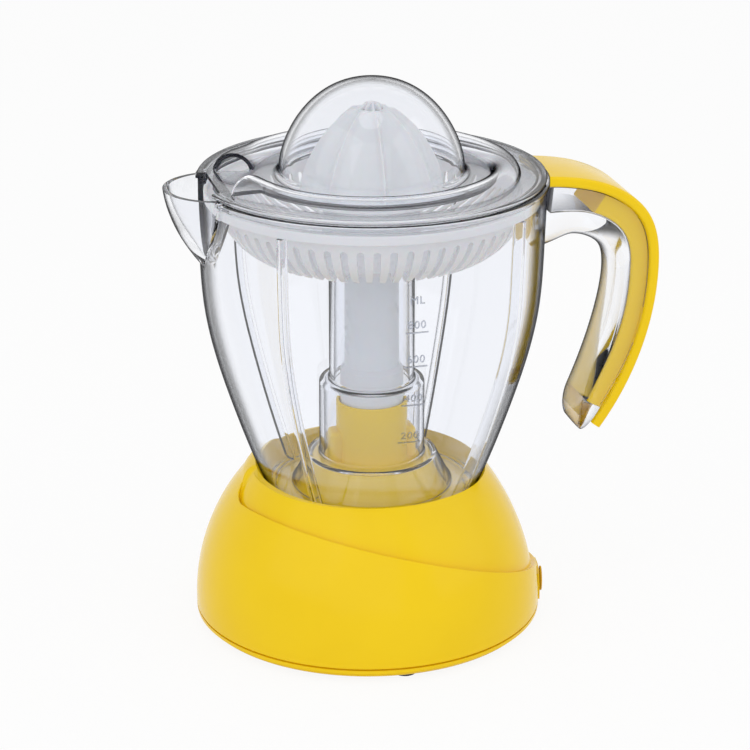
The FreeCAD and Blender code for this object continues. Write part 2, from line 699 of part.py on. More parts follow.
def coil_bobbin():
    """Plastic former on the core's leg, with a flange at each end."""
    flanges = leg_box(BOBBIN_WALL + COIL_DEPTH, SCREW_FIT)
    flanges = flanges.cut(leg_box(BOBBIN_WALL + COIL_DEPTH + 1, BOBBIN_WALL + SCREW_FIT))
    former = leg_box(BOBBIN_WALL, SCREW_FIT).fuse(flanges)
    return former.cut(leg_box(0, -BEYOND)).removeSplitter()


def coil_winding():
    """The wound wire as one block round the former."""
    trim = BOBBIN_WALL + SCREW_FIT
    return leg_box(BOBBIN_WALL + COIL_DEPTH - RUN_GAP, trim).cut(leg_box(BOBBIN_WALL, trim - 1))


def bracket(face, way):
    """A bearing bracket on one end of the core; way is +1 above it and -1 below."""
    low, high = sorted((face, face + way * BRACKET_THICKNESS))
    margin = STUD_SPACER_RADIUS
    x0, x1 = -stud_offset - margin, stud_offset + margin
    y0, y1 = MOTOR_DISTANCE - stud_offset - margin, MOTOR_DISTANCE + stud_offset + margin
    plate = prism([(x0, y0), (x0 + 2 * margin, y0), (x1, y1 - 2 * margin), (x1, y1), (x0, y1)], low, high)
    cup_low, cup_high = sorted((face, face + way * (BRACKET_THICKNESS + BRACKET_CUP_DEPTH)))
    plate = plate.fuse(rod(BRACKET_CUP_RADIUS, cup_low, cup_high, 0, MOTOR_DISTANCE))
    plate = plate.cut(rod(ROTOR_SHAFT_RADIUS + SHAFT_FIT, 0, BEYOND, 0, MOTOR_DISTANCE))
    for x, y in STUD_PLACES:
        plate = plate.cut(rod(STUD_RADIUS + SCREW_FIT, 0, BEYOND, x, y))
    return plate.removeSplitter()


def motor_studs():
    """Studs with spacers that hang the motor from the gear plate."""
    lower = STACK_BOTTOM - BRACKET_THICKNESS
    upper = stack_top + BRACKET_THICKNESS
    studs = []
    for x, y in STUD_PLACES:
        stud = rod(STUD_RADIUS, lower - STUD_NUT_HEIGHT, gear_plate_top + STUD_NUT_HEIGHT, x, y)
        stud = stud.fuse(rod(STUD_SPACER_RADIUS, upper, GEAR_PLATE_HEIGHT, x, y))
        stud = stud.fuse(rod(STUD_SPACER_RADIUS, lower - STUD_NUT_HEIGHT, lower, x, y))
        stud = stud.fuse(rod(STUD_SPACER_RADIUS, gear_plate_top, gear_plate_top + STUD_NUT_HEIGHT, x, y))
        studs.append(stud.removeSplitter())
    return Part.makeCompound(studs)


def rotor_core():
    """The rotor's laminated drum."""
    core = rod(ROTOR_RADIUS, STACK_BOTTOM + ROTOR_END_GAP, stack_top - ROTOR_END_GAP, 0, MOTOR_DISTANCE)
    return core.cut(rod(ROTOR_SHAFT_RADIUS, 0, BEYOND, 0, MOTOR_DISTANCE))


def mesh_angle(x0, y0, x1, y1):
    """Direction from one gear centre to another, in degrees."""
    return math.degrees(math.atan2(y1 - y0, x1 - x0))


def rotor_shaft():
    """The rotor's shaft with the motor pinion cut on it."""
    gap_at = mesh_angle(0, MOTOR_DISTANCE, idler_x, idler_y)
    tooth_at = gap_at + 180 / FIRST_PINION_TEETH
    pinion = gear(FIRST_MODULE, FIRST_PINION_TEETH, idler_wheel_foot, idler_wheel_top, tooth_at)
    pinion.translate(Vector(0, MOTOR_DISTANCE, 0))
    foot = STACK_BOTTOM - BRACKET_THICKNESS - BRACKET_CUP_DEPTH
    return pinion.fuse(rod(ROTOR_SHAFT_RADIUS, foot, idler_wheel_top, 0, MOTOR_DISTANCE)).removeSplitter()


def idler_axle():
    """Headed pin in the gear plate that the idler turns on."""
    head_top = idler_pinion_foot - SEAT_GAP
    pin = rod(IDLER_AXLE_RADIUS, head_top - SCREW_HEAD_HEIGHT, gear_plate_top, idler_x, idler_y)
    head = rod(IDLER_AXLE_RADIUS + SCREW_HEAD, head_top - SCREW_HEAD_HEIGHT, head_top, idler_x, idler_y)
    return pin.fuse(head).removeSplitter()


def idler_gear():
    """Compound gear: the large wheel meets the motor pinion, the long pinion meets the output gear."""
    to_motor = mesh_angle(idler_x, idler_y, 0, MOTOR_DISTANCE)
    to_spindle = mesh_angle(idler_x, idler_y, 0, 0)
    wheel = gear(FIRST_MODULE, FIRST_WHEEL_TEETH, idler_wheel_foot, idler_wheel_top, to_motor)
    tooth_at = to_spindle + 180 / SECOND_PINION_TEETH
    pinion = gear(SECOND_MODULE, SECOND_PINION_TEETH, idler_pinion_foot, idler_wheel_foot, tooth_at)
    hub = rod(IDLER_HUB_RADIUS, idler_wheel_top, GEAR_PLATE_HEIGHT - SEAT_GAP)
    whole = wheel.fuse(pinion).fuse(hub).cut(rod(IDLER_AXLE_RADIUS + SHAFT_FIT, 0, BEYOND))
    whole.translate(Vector(idler_x, idler_y, 0))
    return whole.removeSplitter()


# Spindle, thrust plate and switch

def output_gear():
    """The gear on the drive spindle."""
    tooth_at = mesh_angle(0, 0, idler_x, idler_y)
    wheel = gear(SECOND_MODULE, SECOND_WHEEL_TEETH, output_gear_foot, output_gear_top, tooth_at)
    hub = rod(2 * SPINDLE_RADIUS, output_gear_foot - WHEEL_FACE, output_gear_foot)
    return wheel.fuse(hub).cut(rod(SPINDLE_RADIUS, 0, BEYOND)).removeSplitter()


def drive_spindle():
    """The steel spindle from the thrust plate up into the boss."""
    return rod(SPINDLE_RADIUS, THRUST_HEIGHT + SEAT_GAP, dog_top - SEAT_GAP)


def drive_dog():
    """Six-sided driver on the spindle's top end."""
    return hexagon(DOG_ACROSS_FLATS, dog_foot, dog_top).cut(rod(SPINDLE_RADIUS, 0, dog_top - SEAT_GAP))


def spindle_collar():
    """Ring that stops the spindle below its bush."""
    top = well_ceiling - SEAT_GAP
    return sleeve(COLLAR_RING_RADIUS, SPINDLE_RADIUS, top - COLLAR_RING_HEIGHT, top)


def spindle_bush():
    """Bush pressed into the housing's neck."""
    return sleeve(BUSH_RADIUS, SPINDLE_RADIUS + SHAFT_FIT, well_ceiling, cup_floor)


def thrust_plate():
    """Disc under the spindle with an arm that trips the switch."""
    low = THRUST_HEIGHT - THRUST_THICKNESS
    disc = rod(GUIDE_BORE - RUN_GAP, low, THRUST_HEIGHT)
    arm = block(-ARM_REACH, 0, -ARM_WIDTH / 2, ARM_WIDTH / 2, low, THRUST_HEIGHT)
    return disc.fuse(arm).removeSplitter()


def return_spring():
    """Blade spring fixed to the bottom cover and bowed up under the thrust plate."""
    high = THRUST_HEIGHT - THRUST_THICKNESS - SEAT_GAP
    middle = GUIDE_BORE / 2
    fixed = GUIDE_BORE + GUIDE_WALL + SPRING_WIDTH
    low = cover_top + SPRING_THICKNESS
    top = [(-middle, high), (middle, high), (fixed, low), (SPRING_REACH, low)]
    bottom = [(x, z - SPRING_THICKNESS) for x, z in reversed(top)]
    blade = outline(*(top + bottom)).extrude(Vector(0, SPRING_WIDTH, 0))
    blade.translate(Vector(0, -SPRING_WIDTH / 2, 0))
    return blade


def plunger_x():
    """Where the switch's plunger stands under the arm."""
    return -(SWITCH_NEAR + ARM_REACH) / 2


def switch_body():
    """The switch's case on the bottom cover."""
    far = SWITCH_NEAR + SWITCH_LENGTH
    half = SWITCH_WIDTH / 2
    case = block(-far, -SWITCH_NEAR, -half, half, cover_top, cover_top + SWITCH_HEIGHT)
    return case.cut(rod(PLUNGER_RADIUS + SHAFT_FIT, 0, BEYOND, plunger_x()))


def switch_plunger():
    """The pin that the thrust plate's arm pushes into the switch."""
    top = THRUST_HEIGHT - THRUST_THICKNESS - SEAT_GAP
    return rod(PLUNGER_RADIUS, top - PLUNGER_LENGTH, top, plunger_x())


# Jug and handle

def spout_section(share, inset):
    """One level of the spout, from 0 at its lower end to 1 at the rim: height, nose and half width."""
    rise = share * (SPOUT_DEPTH - 2 * inset)
    height = jug_rim - SPOUT_DEPTH + 2 * inset + rise
    start = JUG_SHOULDER_RADIUS + SPOUT_START
    nose = start + (SPOUT_REACH - start) * share ** SPOUT_CURVE - inset
    half = max(SPOUT_START, SPOUT_HALF_WIDTH * share ** SPOUT_CURVE - inset)
    return height, nose, half


def spout_form(inset, top):
    """The spout as a rounded beak that widens from the wall up to the rim, moved in by inset."""
    wires = []
    for i in range(SPOUT_LEVELS):
        height, nose, half = spout_section(i / (SPOUT_LEVELS - 1), inset)
        back = math.sqrt((JUG_SHOULDER_RADIUS - JUG_WALL) ** 2 - half**2) - JUG_WALL
        left = Vector(-back, -half, height)
        tip = Vector(-nose, 0, height)
        right = Vector(-back, half, height)
        edges = [Part.Arc(left, tip, right).toShape(), Part.LineSegment(right, left).toShape()]
        wires.append(Part.Wire(edges))
    form = Part.makeLoft(wires, True, False)
    if top > jug_rim:
        form = form.fuse(Part.Face(wires[-1]).extrude(Vector(0, 0, top - jug_rim)))
    return form


def handle_line():
    """Points of the handle's outer line on its middle plane: root, shoulder, belly, end."""
    root = (JUG_RIM_RADIUS - 2 * JUG_WALL, jug_rim - HANDLE_TOP_DROP)
    shoulder = (HANDLE_SHOULDER_REACH, jug_rim - HANDLE_SHOULDER_DROP)
    belly = (HANDLE_REACH, jug_rim - HANDLE_BELLY_DROP)
    end = (HANDLE_END_REACH, jug_rim - HANDLE_END_DROP)
    return root, shoulder, belly, end


def handle_curve(inset):
    """The handle's outer line moved in by inset: its start and the points of its smooth curve."""
    root, shoulder, belly, end = handle_line()
    root = (root[0], root[1] - inset)
    shoulder = (shoulder[0] - inset / 4, shoulder[1] - inset)
    belly = (belly[0] - inset, belly[1])
    end = (end[0] - inset, end[1] + inset / 4)
    first = ((root[0] + shoulder[0]) / 2, shoulder[1] + (root[1] - shoulder[1]) * 0.75)
    upper = bulged(belly, shoulder, HANDLE_BELLY_BULGE - inset / 4)
    lower = bulged(end, belly, HANDLE_TAIL_BULGE)
    return root, [first, shoulder, upper, belly, lower, end]


def handle_band(outer, inner, half_width):
    """A strip between two insets of the handle's outer line."""
    start, line = handle_curve(outer)
    inner_start, inner_line = handle_curve(inner)
    way_back = inner_line[-2::-1] + [inner_start]
    face = outline(start, line, inner_line[-1], way_back)
    band = face.extrude(Vector(0, 2 * half_width, 0))
    band.translate(Vector(0, -half_width, 0))
    return band


def grip_stations(end_inset):
    """Places along the grip's cover side, each with the way towards the fingers.

    The last place is drawn back by end_inset.
    """
    start, line = handle_curve(HANDLE_COVER_WALL + SEAT_GAP)
    places = [flat(start)] + [flat(place) for place in line]
    onward = (places[-1] - places[-2]).normalize()
    inward = Vector(onward.z, 0, -onward.x)
    places.append(places[-1] + (onward + inward * 0.5) * GRIP_TOE)
    ways = []
    for i in range(len(places)):
        along = places[min(i + 1, len(places) - 1)] - places[max(i - 1, 0)]
        ways.append(Vector(along.z, 0, -along.x).normalize())
    back = (places[-2] - places[-1]).normalize()
    places[-1] = places[-1] + back * end_inset
    return list(zip(places, ways))


def grip_form(inset):
    """The clear grip under the handle cover, lofted through rounded sections and moved in by inset."""
    wires = []
    half = GRIP_HALF_WIDTH - inset
    side = Vector(0, 1, 0)
    for (place, way), depth in zip(grip_stations(inset), GRIP_DEPTHS):
        deep = depth - inset
        corner = min(GRIP_ROUND - inset, 0.8 * deep)
        chop = corner * (1 - math.sqrt(0.5))
        outer = place - way * (GRIP_WALL + inset)
        a, b = outer + side * half, place + way * (deep - corner) + side * half
        c = place + way * (deep - chop) + side * (half - chop)
        d = place + way * deep + side * (half - corner)
        mirrored = [Vector(v.x, -v.y, v.z) for v in (d, c, b, a)]
        e, f, g, h = mirrored
        edges = [
            Part.LineSegment(a, b),
            Part.Arc(b, c, d),
            Part.LineSegment(d, e),
            Part.Arc(e, f, g),
            Part.LineSegment(g, h),
            Part.LineSegment(h, a),
        ]
        wires.append(Part.Wire([edge.toShape() for edge in edges]))
    return Part.makeLoft(wires, True, False)


def grip():
    """The hollow grip, open towards the handle cover."""
    start, line = handle_curve(HANDLE_COVER_WALL + SEAT_GAP)
    end = line[-1]
    below = (end[0] - GRIP_DEPTHS[-1] / 2, end[1] - 2 * GRIP_DEPTHS[-1])
    region = outline((start[0] - GRIP_WALL, start[1]), start, line, below, (0, below[1]), (0, start[1]))
    region = region.extrude(Vector(0, 2 * BEYOND, 0))
    region.translate(Vector(0, -BEYOND, 0))
    outside_jug = block(JUG_RIM_RADIUS + JUG_LIP, BEYOND, -BEYOND, BEYOND, 0, BEYOND)
    pocket = grip_form(GRIP_WALL).common(outside_jug)
    return grip_form(0).common(region).cut(pocket)


def jug():
    """The clear jug: wall, floor, column, ribs, spout and the hollow grip, in one moulding."""
    foot, shoulder, rim = jug_wall_points()
    floor_top = jug_foot + JUG_FOOT_RING_DEPTH + JUG_WALL
    hump_radius = MOUND_RADIUS + RUN_GAP + JUG_WALL
    hump_top = mound_top + RUN_GAP + JUG_WALL
    step = jug_foot + COLUMN_STEP_RISE
    column_top = jug_foot + COLUMN_RISE
    step_edge = (COLUMN_LOWER_RADIUS, step - COLUMN_WALL)
    step_top = (COLUMN_LOWER_RADIUS - COLUMN_WALL, step)
    outside = jug_form(0, jug_foot, jug_rim)
    lip = sleeve(JUG_RIM_RADIUS + JUG_LIP, JUG_RIM_RADIUS - JUG_WALL, jug_rim - JUG_LIP_HEIGHT, jug_rim)
    inside = jug_form(-JUG_WALL, floor_top, jug_rim + 1)
    middle = turned(outline(
        (0, jug_foot),
        (hump_radius, jug_foot),
        (hump_radius, floor_top),
        (COLUMN_FOOT_RADIUS, hump_top),
        (COLUMN_LOWER_RADIUS, hump_top),
        (COLUMN_LOWER_RADIUS, step - COLUMN_WALL),
        (bulged(step_edge, step_top, COLUMN_WALL * 0.6), step_top),
        (COLUMN_UPPER_RADIUS + COLUMN_WALL / 2, step),
        (COLUMN_UPPER_RADIUS, step + COLUMN_WALL / 2),
        (COLUMN_UPPER_RADIUS, column_top),
        (0, column_top),
    ))
    hollow = turned(outline(
        (0, jug_foot - 1),
        (foot[0] - JUG_FOOT_RING, jug_foot - 1),
        (foot[0] - JUG_FOOT_RING, jug_foot + JUG_FOOT_RING_DEPTH),
        (hump_radius - JUG_WALL, jug_foot + JUG_FOOT_RING_DEPTH),
        (COLUMN_FOOT_RADIUS - JUG_WALL / 2, hump_top - JUG_WALL),
        (COLUMN_LOWER_RADIUS - COLUMN_WALL, hump_top - JUG_WALL),
        (COLUMN_LOWER_RADIUS - COLUMN_WALL, step - COLUMN_WALL),
        (COLUMN_UPPER_RADIUS - COLUMN_WALL, step - COLUMN_WALL),
        (COLUMN_UPPER_RADIUS - COLUMN_WALL, column_top + 1),
        (0, column_top + 1),
    ))
    spout = spout_form(0, jug_rim)
    body = outside.fuse(lip).fuse(grip()).fuse(spout)
    body = body.cut(inside).cut(spout_form(JUG_WALL, jug_rim + 1))
    body = body.fuse(middle).cut(hollow)
    ring = jug_form(-JUG_WALL / 2, floor_top - JUG_WALL / 2, rib_top)
    ring = ring.cut(jug_form(-JUG_WALL - RIB_DEPTH, 0, BEYOND))
    bar = block(-BEYOND, BEYOND, -RIB_WIDTH / 2, RIB_WIDTH / 2, 0, BEYOND)
    for degrees in (45, 135):
        body = body.fuse(ring.common(around(bar, degrees)))
    tube = COLUMN_LOWER_RADIUS - COLUMN_WALL
    half = TAB_WIDTH / 2
    tab_back = -tube - COLUMN_WALL / 2
    tab = block(-half, half, tab_back, -tube + TAB_DEPTH, hump_top, hump_top + TAB_HEIGHT)
    body = body.fuse(tab).fuse(around(tab, 180))
    return body.removeSplitter()


def handle_cover():
    """The coloured strip over the handle's outer side, with its core inside the hollow grip."""
    band = handle_band(0, HANDLE_COVER_WALL, HANDLE_HALF_WIDTH)
    band = band.cut(rod(JUG_RIM_RADIUS + JUG_LIP + SEAT_GAP, 0, BEYOND))
    core = handle_band(HANDLE_COVER_WALL / 2, HANDLE_CORE_DEPTH, GRIP_HALF_WIDTH - GRIP_WALL - RUN_GAP)
    low = handle_line()[-1][1] + GRIP_ROUND
    core = core.common(block(HANDLE_CORE_START, BEYOND, -BEYOND, BEYOND, low, BEYOND))
    core = core.common(grip_form(GRIP_WALL + RUN_GAP))
    return band.fuse(core).removeSplitter()


# Strainer, cones and shaft

def drive_shaft():
    """White tube that stands on the spindle's driver and carries the cones."""
    body = turned(outline(
        (0, shaft_foot),
        (SHAFT_SKIRT_RADIUS, shaft_foot),
        (SHAFT_SKIRT_RADIUS, SHAFT_SKIRT_TOP),
        (SHAFT_RADIUS, SHAFT_SKIRT_TOP + SHAFT_SKIRT_RADIUS - SHAFT_RADIUS),
        (SHAFT_RADIUS, shaft_top),
        (0, shaft_top),
    ))
    bore = SHAFT_RADIUS - SHAFT_WALL
    body = body.cut(rod(bore, 0, shaft_top - SHAFT_WALL))
    web = rod(bore + SHAFT_WALL / 2, dog_foot + RUN_GAP, dog_top - RUN_GAP)
    web = web.cut(hexagon(DOG_ACROSS_FLATS + 2 * DOG_FIT, 0, BEYOND))
    half = SHAFT_FLAT / 2
    flats = block(-BEYOND, BEYOND, -half, half, cone_foot, BEYOND)
    upper = body.common(rod(BEYOND, cone_foot, BEYOND)).common(flats)
    lower = body.common(rod(BEYOND, 0, cone_foot))
    return lower.fuse(upper).fuse(web).removeSplitter()


def strainer():
    """Slotted basket that hangs on the jug's ribs, with a sleeve over the column."""
    edge = JUG_RIM_RADIUS - JUG_WALL - STRAINER_FIT
    wall = STRAINER_WALL
    sleeve_bore = COLUMN_UPPER_RADIUS + RUN_GAP
    sleeve_radius = sleeve_bore + wall
    shaft_hole = SHAFT_RADIUS + 2 * RUN_GAP
    inner_floor = strainer_floor + STRAINER_FLOOR_RISE
    bowl = (STRAINER_BOWL_RADIUS, strainer_seat)
    floor = (STRAINER_FLOOR_RADIUS, strainer_floor)
    bowl_in = (STRAINER_BOWL_RADIUS - wall, strainer_seat + wall)
    floor_in = (STRAINER_FLOOR_RADIUS - wall / 2, strainer_floor + wall)
    body = turned(outline(
        (edge, strainer_seat),
        (edge, strainer_seat + STRAINER_BAND),
        (edge - STRAINER_BAND_WALL, strainer_seat + STRAINER_BAND),
        (edge - STRAINER_BAND_WALL, strainer_seat + wall),
        bowl_in,
        (bulged(floor_in, bowl_in, STRAINER_BULGE), floor_in),
        (sleeve_radius, inner_floor + wall),
        (sleeve_radius, strainer_hub_top),
        (shaft_hole, strainer_hub_top),
        (shaft_hole, strainer_hub_top - wall),
        (sleeve_bore, strainer_hub_top - wall),
        (sleeve_bore, inner_floor),
        (sleeve_radius, inner_floor),
        floor,
        (bulged(floor, bowl, STRAINER_BULGE), bowl),
    ))
    half = SLOT_WIDTH / 2
    top = strainer_seat - SLOT_TOP_DROP
    cutter = block(SLOT_INNER_RADIUS, edge, -half, half, 0, top - half)
    start = Vector(SLOT_INNER_RADIUS, 0, top - half)
    crown = Part.makeCylinder(half, edge - SLOT_INNER_RADIUS, start, Vector(1, 0, 0))
    slot = cutter.fuse(crown)
    slots = Part.makeCompound([around(slot, 360.0 * i / SLOT_COUNT) for i in range(SLOT_COUNT)])
    return body.cut(slots)


def cone_profile(radius, top_radius, foot, top, bulge):
    """Foot, middle and top of a cone's curved side."""
    low = (radius, foot)
    high = (top_radius, top)
    return low, bulged(low, high, bulge), high


def fluted(cone, radius, top_radius, foot, top):
    """The cone with shallow flutes between its ribs."""
    slant = math.hypot(top_radius - radius, top - foot)
    half_pitch = math.pi / FLUTE_COUNT
    wide = FLUTE_ROUND * radius * math.sin(half_pitch)
    narrow = FLUTE_ROUND * top_radius * math.sin(half_pitch)
    low = radius * math.cos(half_pitch) + wide - FLUTE_DEPTH + CONE_BULGE
    high = top_radius * math.cos(half_pitch) + narrow - FLUTE_DEPTH / 3 + CONE_BULGE / 4
    start = Vector(low, 0, foot)
    cutter = Part.makeCone(wide, narrow, slant, start, Vector(high, 0, top) - start)
    for i in range(FLUTE_COUNT):
        cone = cone.cut(around(cutter, (i + 0.5) * 360.0 / FLUTE_COUNT))
    return cone


def reamer_large():
    """Large fluted cone, open at the top for the small cone's tip."""
    top = cone_foot + CONE_HEIGHT
    low, middle, high = cone_profile(CONE_RADIUS, CONE_TOP_RADIUS, cone_foot + CONE_RIM, top, CONE_BULGE)
    solid = turned(outline((0, cone_foot), (CONE_RADIUS, cone_foot), low, (middle, high), (0, top)))
    solid = fluted(solid, CONE_RADIUS, CONE_TOP_RADIUS, cone_foot + CONE_RIM, top)
    small = small_cone_solid(CONE_GAP)
    return solid.cut(small).removeSplitter()


def small_cone_solid(grow):
    """The small cone's outer form moved out by grow, filled."""
    shoulder = cone_foot + CONE_HEIGHT - CONE_WALL - CONE_GAP
    tip = cone_foot + SMALL_CONE_TIP_RISE
    foot = (SMALL_CONE_RADIUS + grow, cone_foot)
    knee = (SMALL_CONE_NUB + CONE_WALL + grow, shoulder + grow)
    nub = (SMALL_CONE_NUB + grow, shoulder + grow)
    point = (SMALL_CONE_NUB / 3 + grow, tip + grow)
    return turned(outline(
        (0, cone_foot),
        foot,
        (bulged(foot, knee, CONE_BULGE / 2), knee),
        nub,
        (bulged(nub, point, SMALL_CONE_NUB / 4), point),
        (0, tip + grow),
    ))


def reamer_small():
    """Small cone with the socket that fits the drive shaft; its tip stands out of the large cone."""
    solid = small_cone_solid(0)
    socket = rod(SHAFT_RADIUS + DOG_FIT, cone_foot - 1, shaft_top + SEAT_GAP)
    half = SHAFT_FLAT / 2 + DOG_FIT
    socket = socket.common(block(-BEYOND, BEYOND, -half, half, 0, BEYOND))
    return solid.cut(socket).removeSplitter()


# Dust cover

def dust_cover():
    """Clear lid: brim, raised ring, trough and dome, with a pouring arch over the spout."""
    rest = jug_rim + SEAT_GAP
    wall = LID_WALL
    trough = jug_rim + LID_TROUGH_RISE
    ring_top = jug_rim + LID_RING_RISE
    ring_round = (LID_RING_OUTER - LID_RING_INNER) / 2
    skirt_out = JUG_RIM_RADIUS - JUG_WALL - LID_SKIRT_FIT
    dome_foot = (DOME_RADIUS, trough)
    dome_top = (0, jug_rim + DOME_RISE)
    inner_foot = (DOME_RADIUS - wall, trough - wall)
    inner_top = (0, jug_rim + DOME_RISE - wall)
    body = turned(outline(
        (LID_BRIM_RADIUS, rest),
        (LID_BRIM_RADIUS, rest + wall),
        (LID_RING_OUTER, rest + wall),
        (LID_RING_OUTER, ring_top - ring_round),
        (((LID_RING_OUTER + LID_RING_INNER) / 2, ring_top), (LID_RING_INNER, ring_top - ring_round)),
        (LID_RING_INNER, trough),
        dome_foot,
        (bulged(dome_foot, dome_top, DOME_BULGE), dome_top),
        inner_top,
        (bulged(inner_foot, inner_top, DOME_BULGE - wall / 4), inner_foot),
        (skirt_out - wall, trough - wall),
        (skirt_out - wall, jug_rim - LID_SKIRT_DEPTH),
        (skirt_out, jug_rim - LID_SKIRT_DEPTH),
        (skirt_out, rest),
    ))
    length = ARCH_OUTER_END - ARCH_INNER_END
    mouth = Vector(-ARCH_INNER_END, 0, rest)
    arch = Part.makeCylinder(ARCH_RADIUS, length, mouth, Vector(-1, 0, 0))
    tunnel = Part.makeCylinder(ARCH_RADIUS - wall, BEYOND, mouth - Vector(1 - wall, 0, 0), Vector(-1, 0, 0))
    body = body.fuse(arch.common(rod(BEYOND, rest, BEYOND)))
    body = body.cut(tunnel)
    notch_radius = LID_RING_OUTER + 2 * wall
    reach = BEYOND * math.tan(math.radians(LID_NOTCH_HALF_ANGLE))
    wedge = prism([(0, 0), (-BEYOND, -reach), (-BEYOND, reach)], 0, rest + wall + 1)
    body = body.cut(wedge.cut(rod(notch_radius, 0, BEYOND)))
    return body.removeSplitter()


PIECES = {
    "base_housing": base_housing,
    "bottom_cover": bottom_cover,
    "rubber_feet": rubber_feet,
    "cover_screws": cover_screws,
    "inlet_plate": inlet_plate,
    "inlet_grommet": inlet_grommet,
    "gear_plate": gear_plate,
    "plate_screws": plate_screws,
    "stator_core": stator_core,
    "coil_bobbin": coil_bobbin,
    "coil_winding": coil_winding,
    "lower_bearing_bracket": lambda: bracket(STACK_BOTTOM, -1),
    "upper_bearing_bracket": lambda: bracket(stack_top, 1),
    "motor_studs": motor_studs,
    "rotor_core": rotor_core,
    "rotor_shaft": rotor_shaft,
    "idler_axle": idler_axle,
    "idler_gear": idler_gear,
    "output_gear": output_gear,
    "drive_spindle": drive_spindle,
    "drive_dog": drive_dog,
    "spindle_collar": spindle_collar,
    "spindle_bush": spindle_bush,
    "thrust_plate": thrust_plate,
    "return_spring": return_spring,
    "switch_body": switch_body,
    "switch_plunger": switch_plunger,
    "jug": jug,
    "handle_cover": handle_cover,
    "drive_shaft": drive_shaft,
    "strainer": strainer,
    "reamer_large": reamer_large,
    "reamer_small": reamer_small,
    "dust_cover": dust_cover,
}

handle_far = handle_cover().optimalBoundingBox(False).XMax
axis_x = (SPOUT_REACH - handle_far) / 2
for node, make in PIECES.items():
    shape = make()
    shape.translate(Vector(axis_x, 0, 0))
    shape.exportStep("parts/" + node + ".step")
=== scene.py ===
"""Dresses a citrus press: a yellow motor base, a clear jug and lid, a white strainer and white cones.

Pieces are drawn in millimetres about the drive axis and then set in the frame, in metres.
"""
import logging
import math
from dataclasses import dataclass
from enum import Enum
from typing import Callable, Sequence

import bmesh
import bpy
from mathutils import Matrix, Vector


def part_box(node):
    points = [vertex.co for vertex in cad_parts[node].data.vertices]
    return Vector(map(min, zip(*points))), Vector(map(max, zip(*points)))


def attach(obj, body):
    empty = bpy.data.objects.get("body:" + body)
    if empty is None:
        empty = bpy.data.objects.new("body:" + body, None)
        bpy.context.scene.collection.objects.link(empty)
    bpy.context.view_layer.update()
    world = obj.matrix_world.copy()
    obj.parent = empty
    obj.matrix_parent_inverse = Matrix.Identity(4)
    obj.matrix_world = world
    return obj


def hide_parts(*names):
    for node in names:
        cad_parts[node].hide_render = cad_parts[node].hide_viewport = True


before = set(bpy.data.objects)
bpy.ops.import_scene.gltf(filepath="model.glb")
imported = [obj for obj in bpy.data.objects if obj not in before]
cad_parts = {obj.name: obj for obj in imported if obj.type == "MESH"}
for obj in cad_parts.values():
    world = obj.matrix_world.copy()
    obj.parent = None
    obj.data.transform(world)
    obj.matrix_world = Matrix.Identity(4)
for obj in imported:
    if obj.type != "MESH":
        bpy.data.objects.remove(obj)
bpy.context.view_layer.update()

log = logging.getLogger("juicer")
Point = tuple[float, ...]
Mesh = bpy.types.Object
Socket = bpy.types.NodeSocket
Material = bpy.types.Material

MM = 0.001
SPINDLE_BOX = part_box("drive_spindle")
AXIS_X = (SPINDLE_BOX[0].x + SPINDLE_BOX[1].x) / 2
LATHE_STEPS = 192
MERGE = 0.002
SAME = 1e-6
PAST = 1.0
BEVEL_STEPS = 4
ROD_SIDES = 64
STRAIGHT = 0.01
EDGE_SHARE = 0.48
WHITE_RGBA = (1, 1, 1, 1)
NOISE_RANGE = (0.3, 0.7)
SHARP = math.radians(35.0)


def arc(start: Point, end: Point, rise: float, steps: int = 12) -> list[Point]:
    """Points of an arc, without its start.

    Args:
        start: Where the arc begins.
        end: Where it ends.
        rise: How far its middle stands out to the right of the way from start to end.
        steps: How many points are made.

    Returns:
        The points, the last of which is the end.
    """
    run = math.dist(start, end)
    out = ((end[1] - start[1]) / run, (start[0] - end[0]) / run)
    radius = (run * run / 4 + rise * rise) / (2 * rise)
    centre = [(start[i] + end[i]) / 2 + out[i] * (rise - radius) for i in (0, 1)]
    first = math.atan2(start[1] - centre[1], start[0] - centre[0])
    sweep = 4 * math.atan(2 * rise / run)
    turns = [first + sweep * (i + 1) / steps for i in range(steps)]
    return [(centre[0] + abs(radius) * math.cos(a), centre[1] + abs(radius) * math.sin(a)) for a in turns]


def middle_of(start: Point, end: Point, rise: float) -> Point:
    """The middle of the arc from start to end that stands out by rise."""
    return arc(start, end, rise, 2)[0]


def spline_slopes(values: Sequence[float], knots: Sequence[float]) -> list[float]:
    """Slopes of the smoothest cubic curve through values.

    Args:
        values: One value at each knot, three or more.
        knots: Where along the curve the values stand.

    Returns:
        The slope at each knot.
    """
    spans = [b - a for a, b in zip(knots, knots[1:])]
    rises = [(b - a) / span for a, b, span in zip(values, values[1:], spans)]
    first = rises[0] + (rises[0] - rises[1]) * spans[0] / (spans[0] + spans[1])
    last = rises[-1] + (rises[-1] - rises[-2]) * spans[-1] / (spans[-1] + spans[-2])
    shares, parts = [0.0], [first]
    for i in range(1, len(values) - 1):
        before, after = spans[i - 1], spans[i]
        own = 2 * (before + after) - after * shares[-1]
        shares.append(before / own)
        parts.append((3 * (after * rises[i - 1] + before * rises[i]) - after * parts[-1]) / own)
    made = [last]
    for share, part in zip(reversed(shares), reversed(parts)):
        made.append(part - share * made[-1])
    return made[::-1]


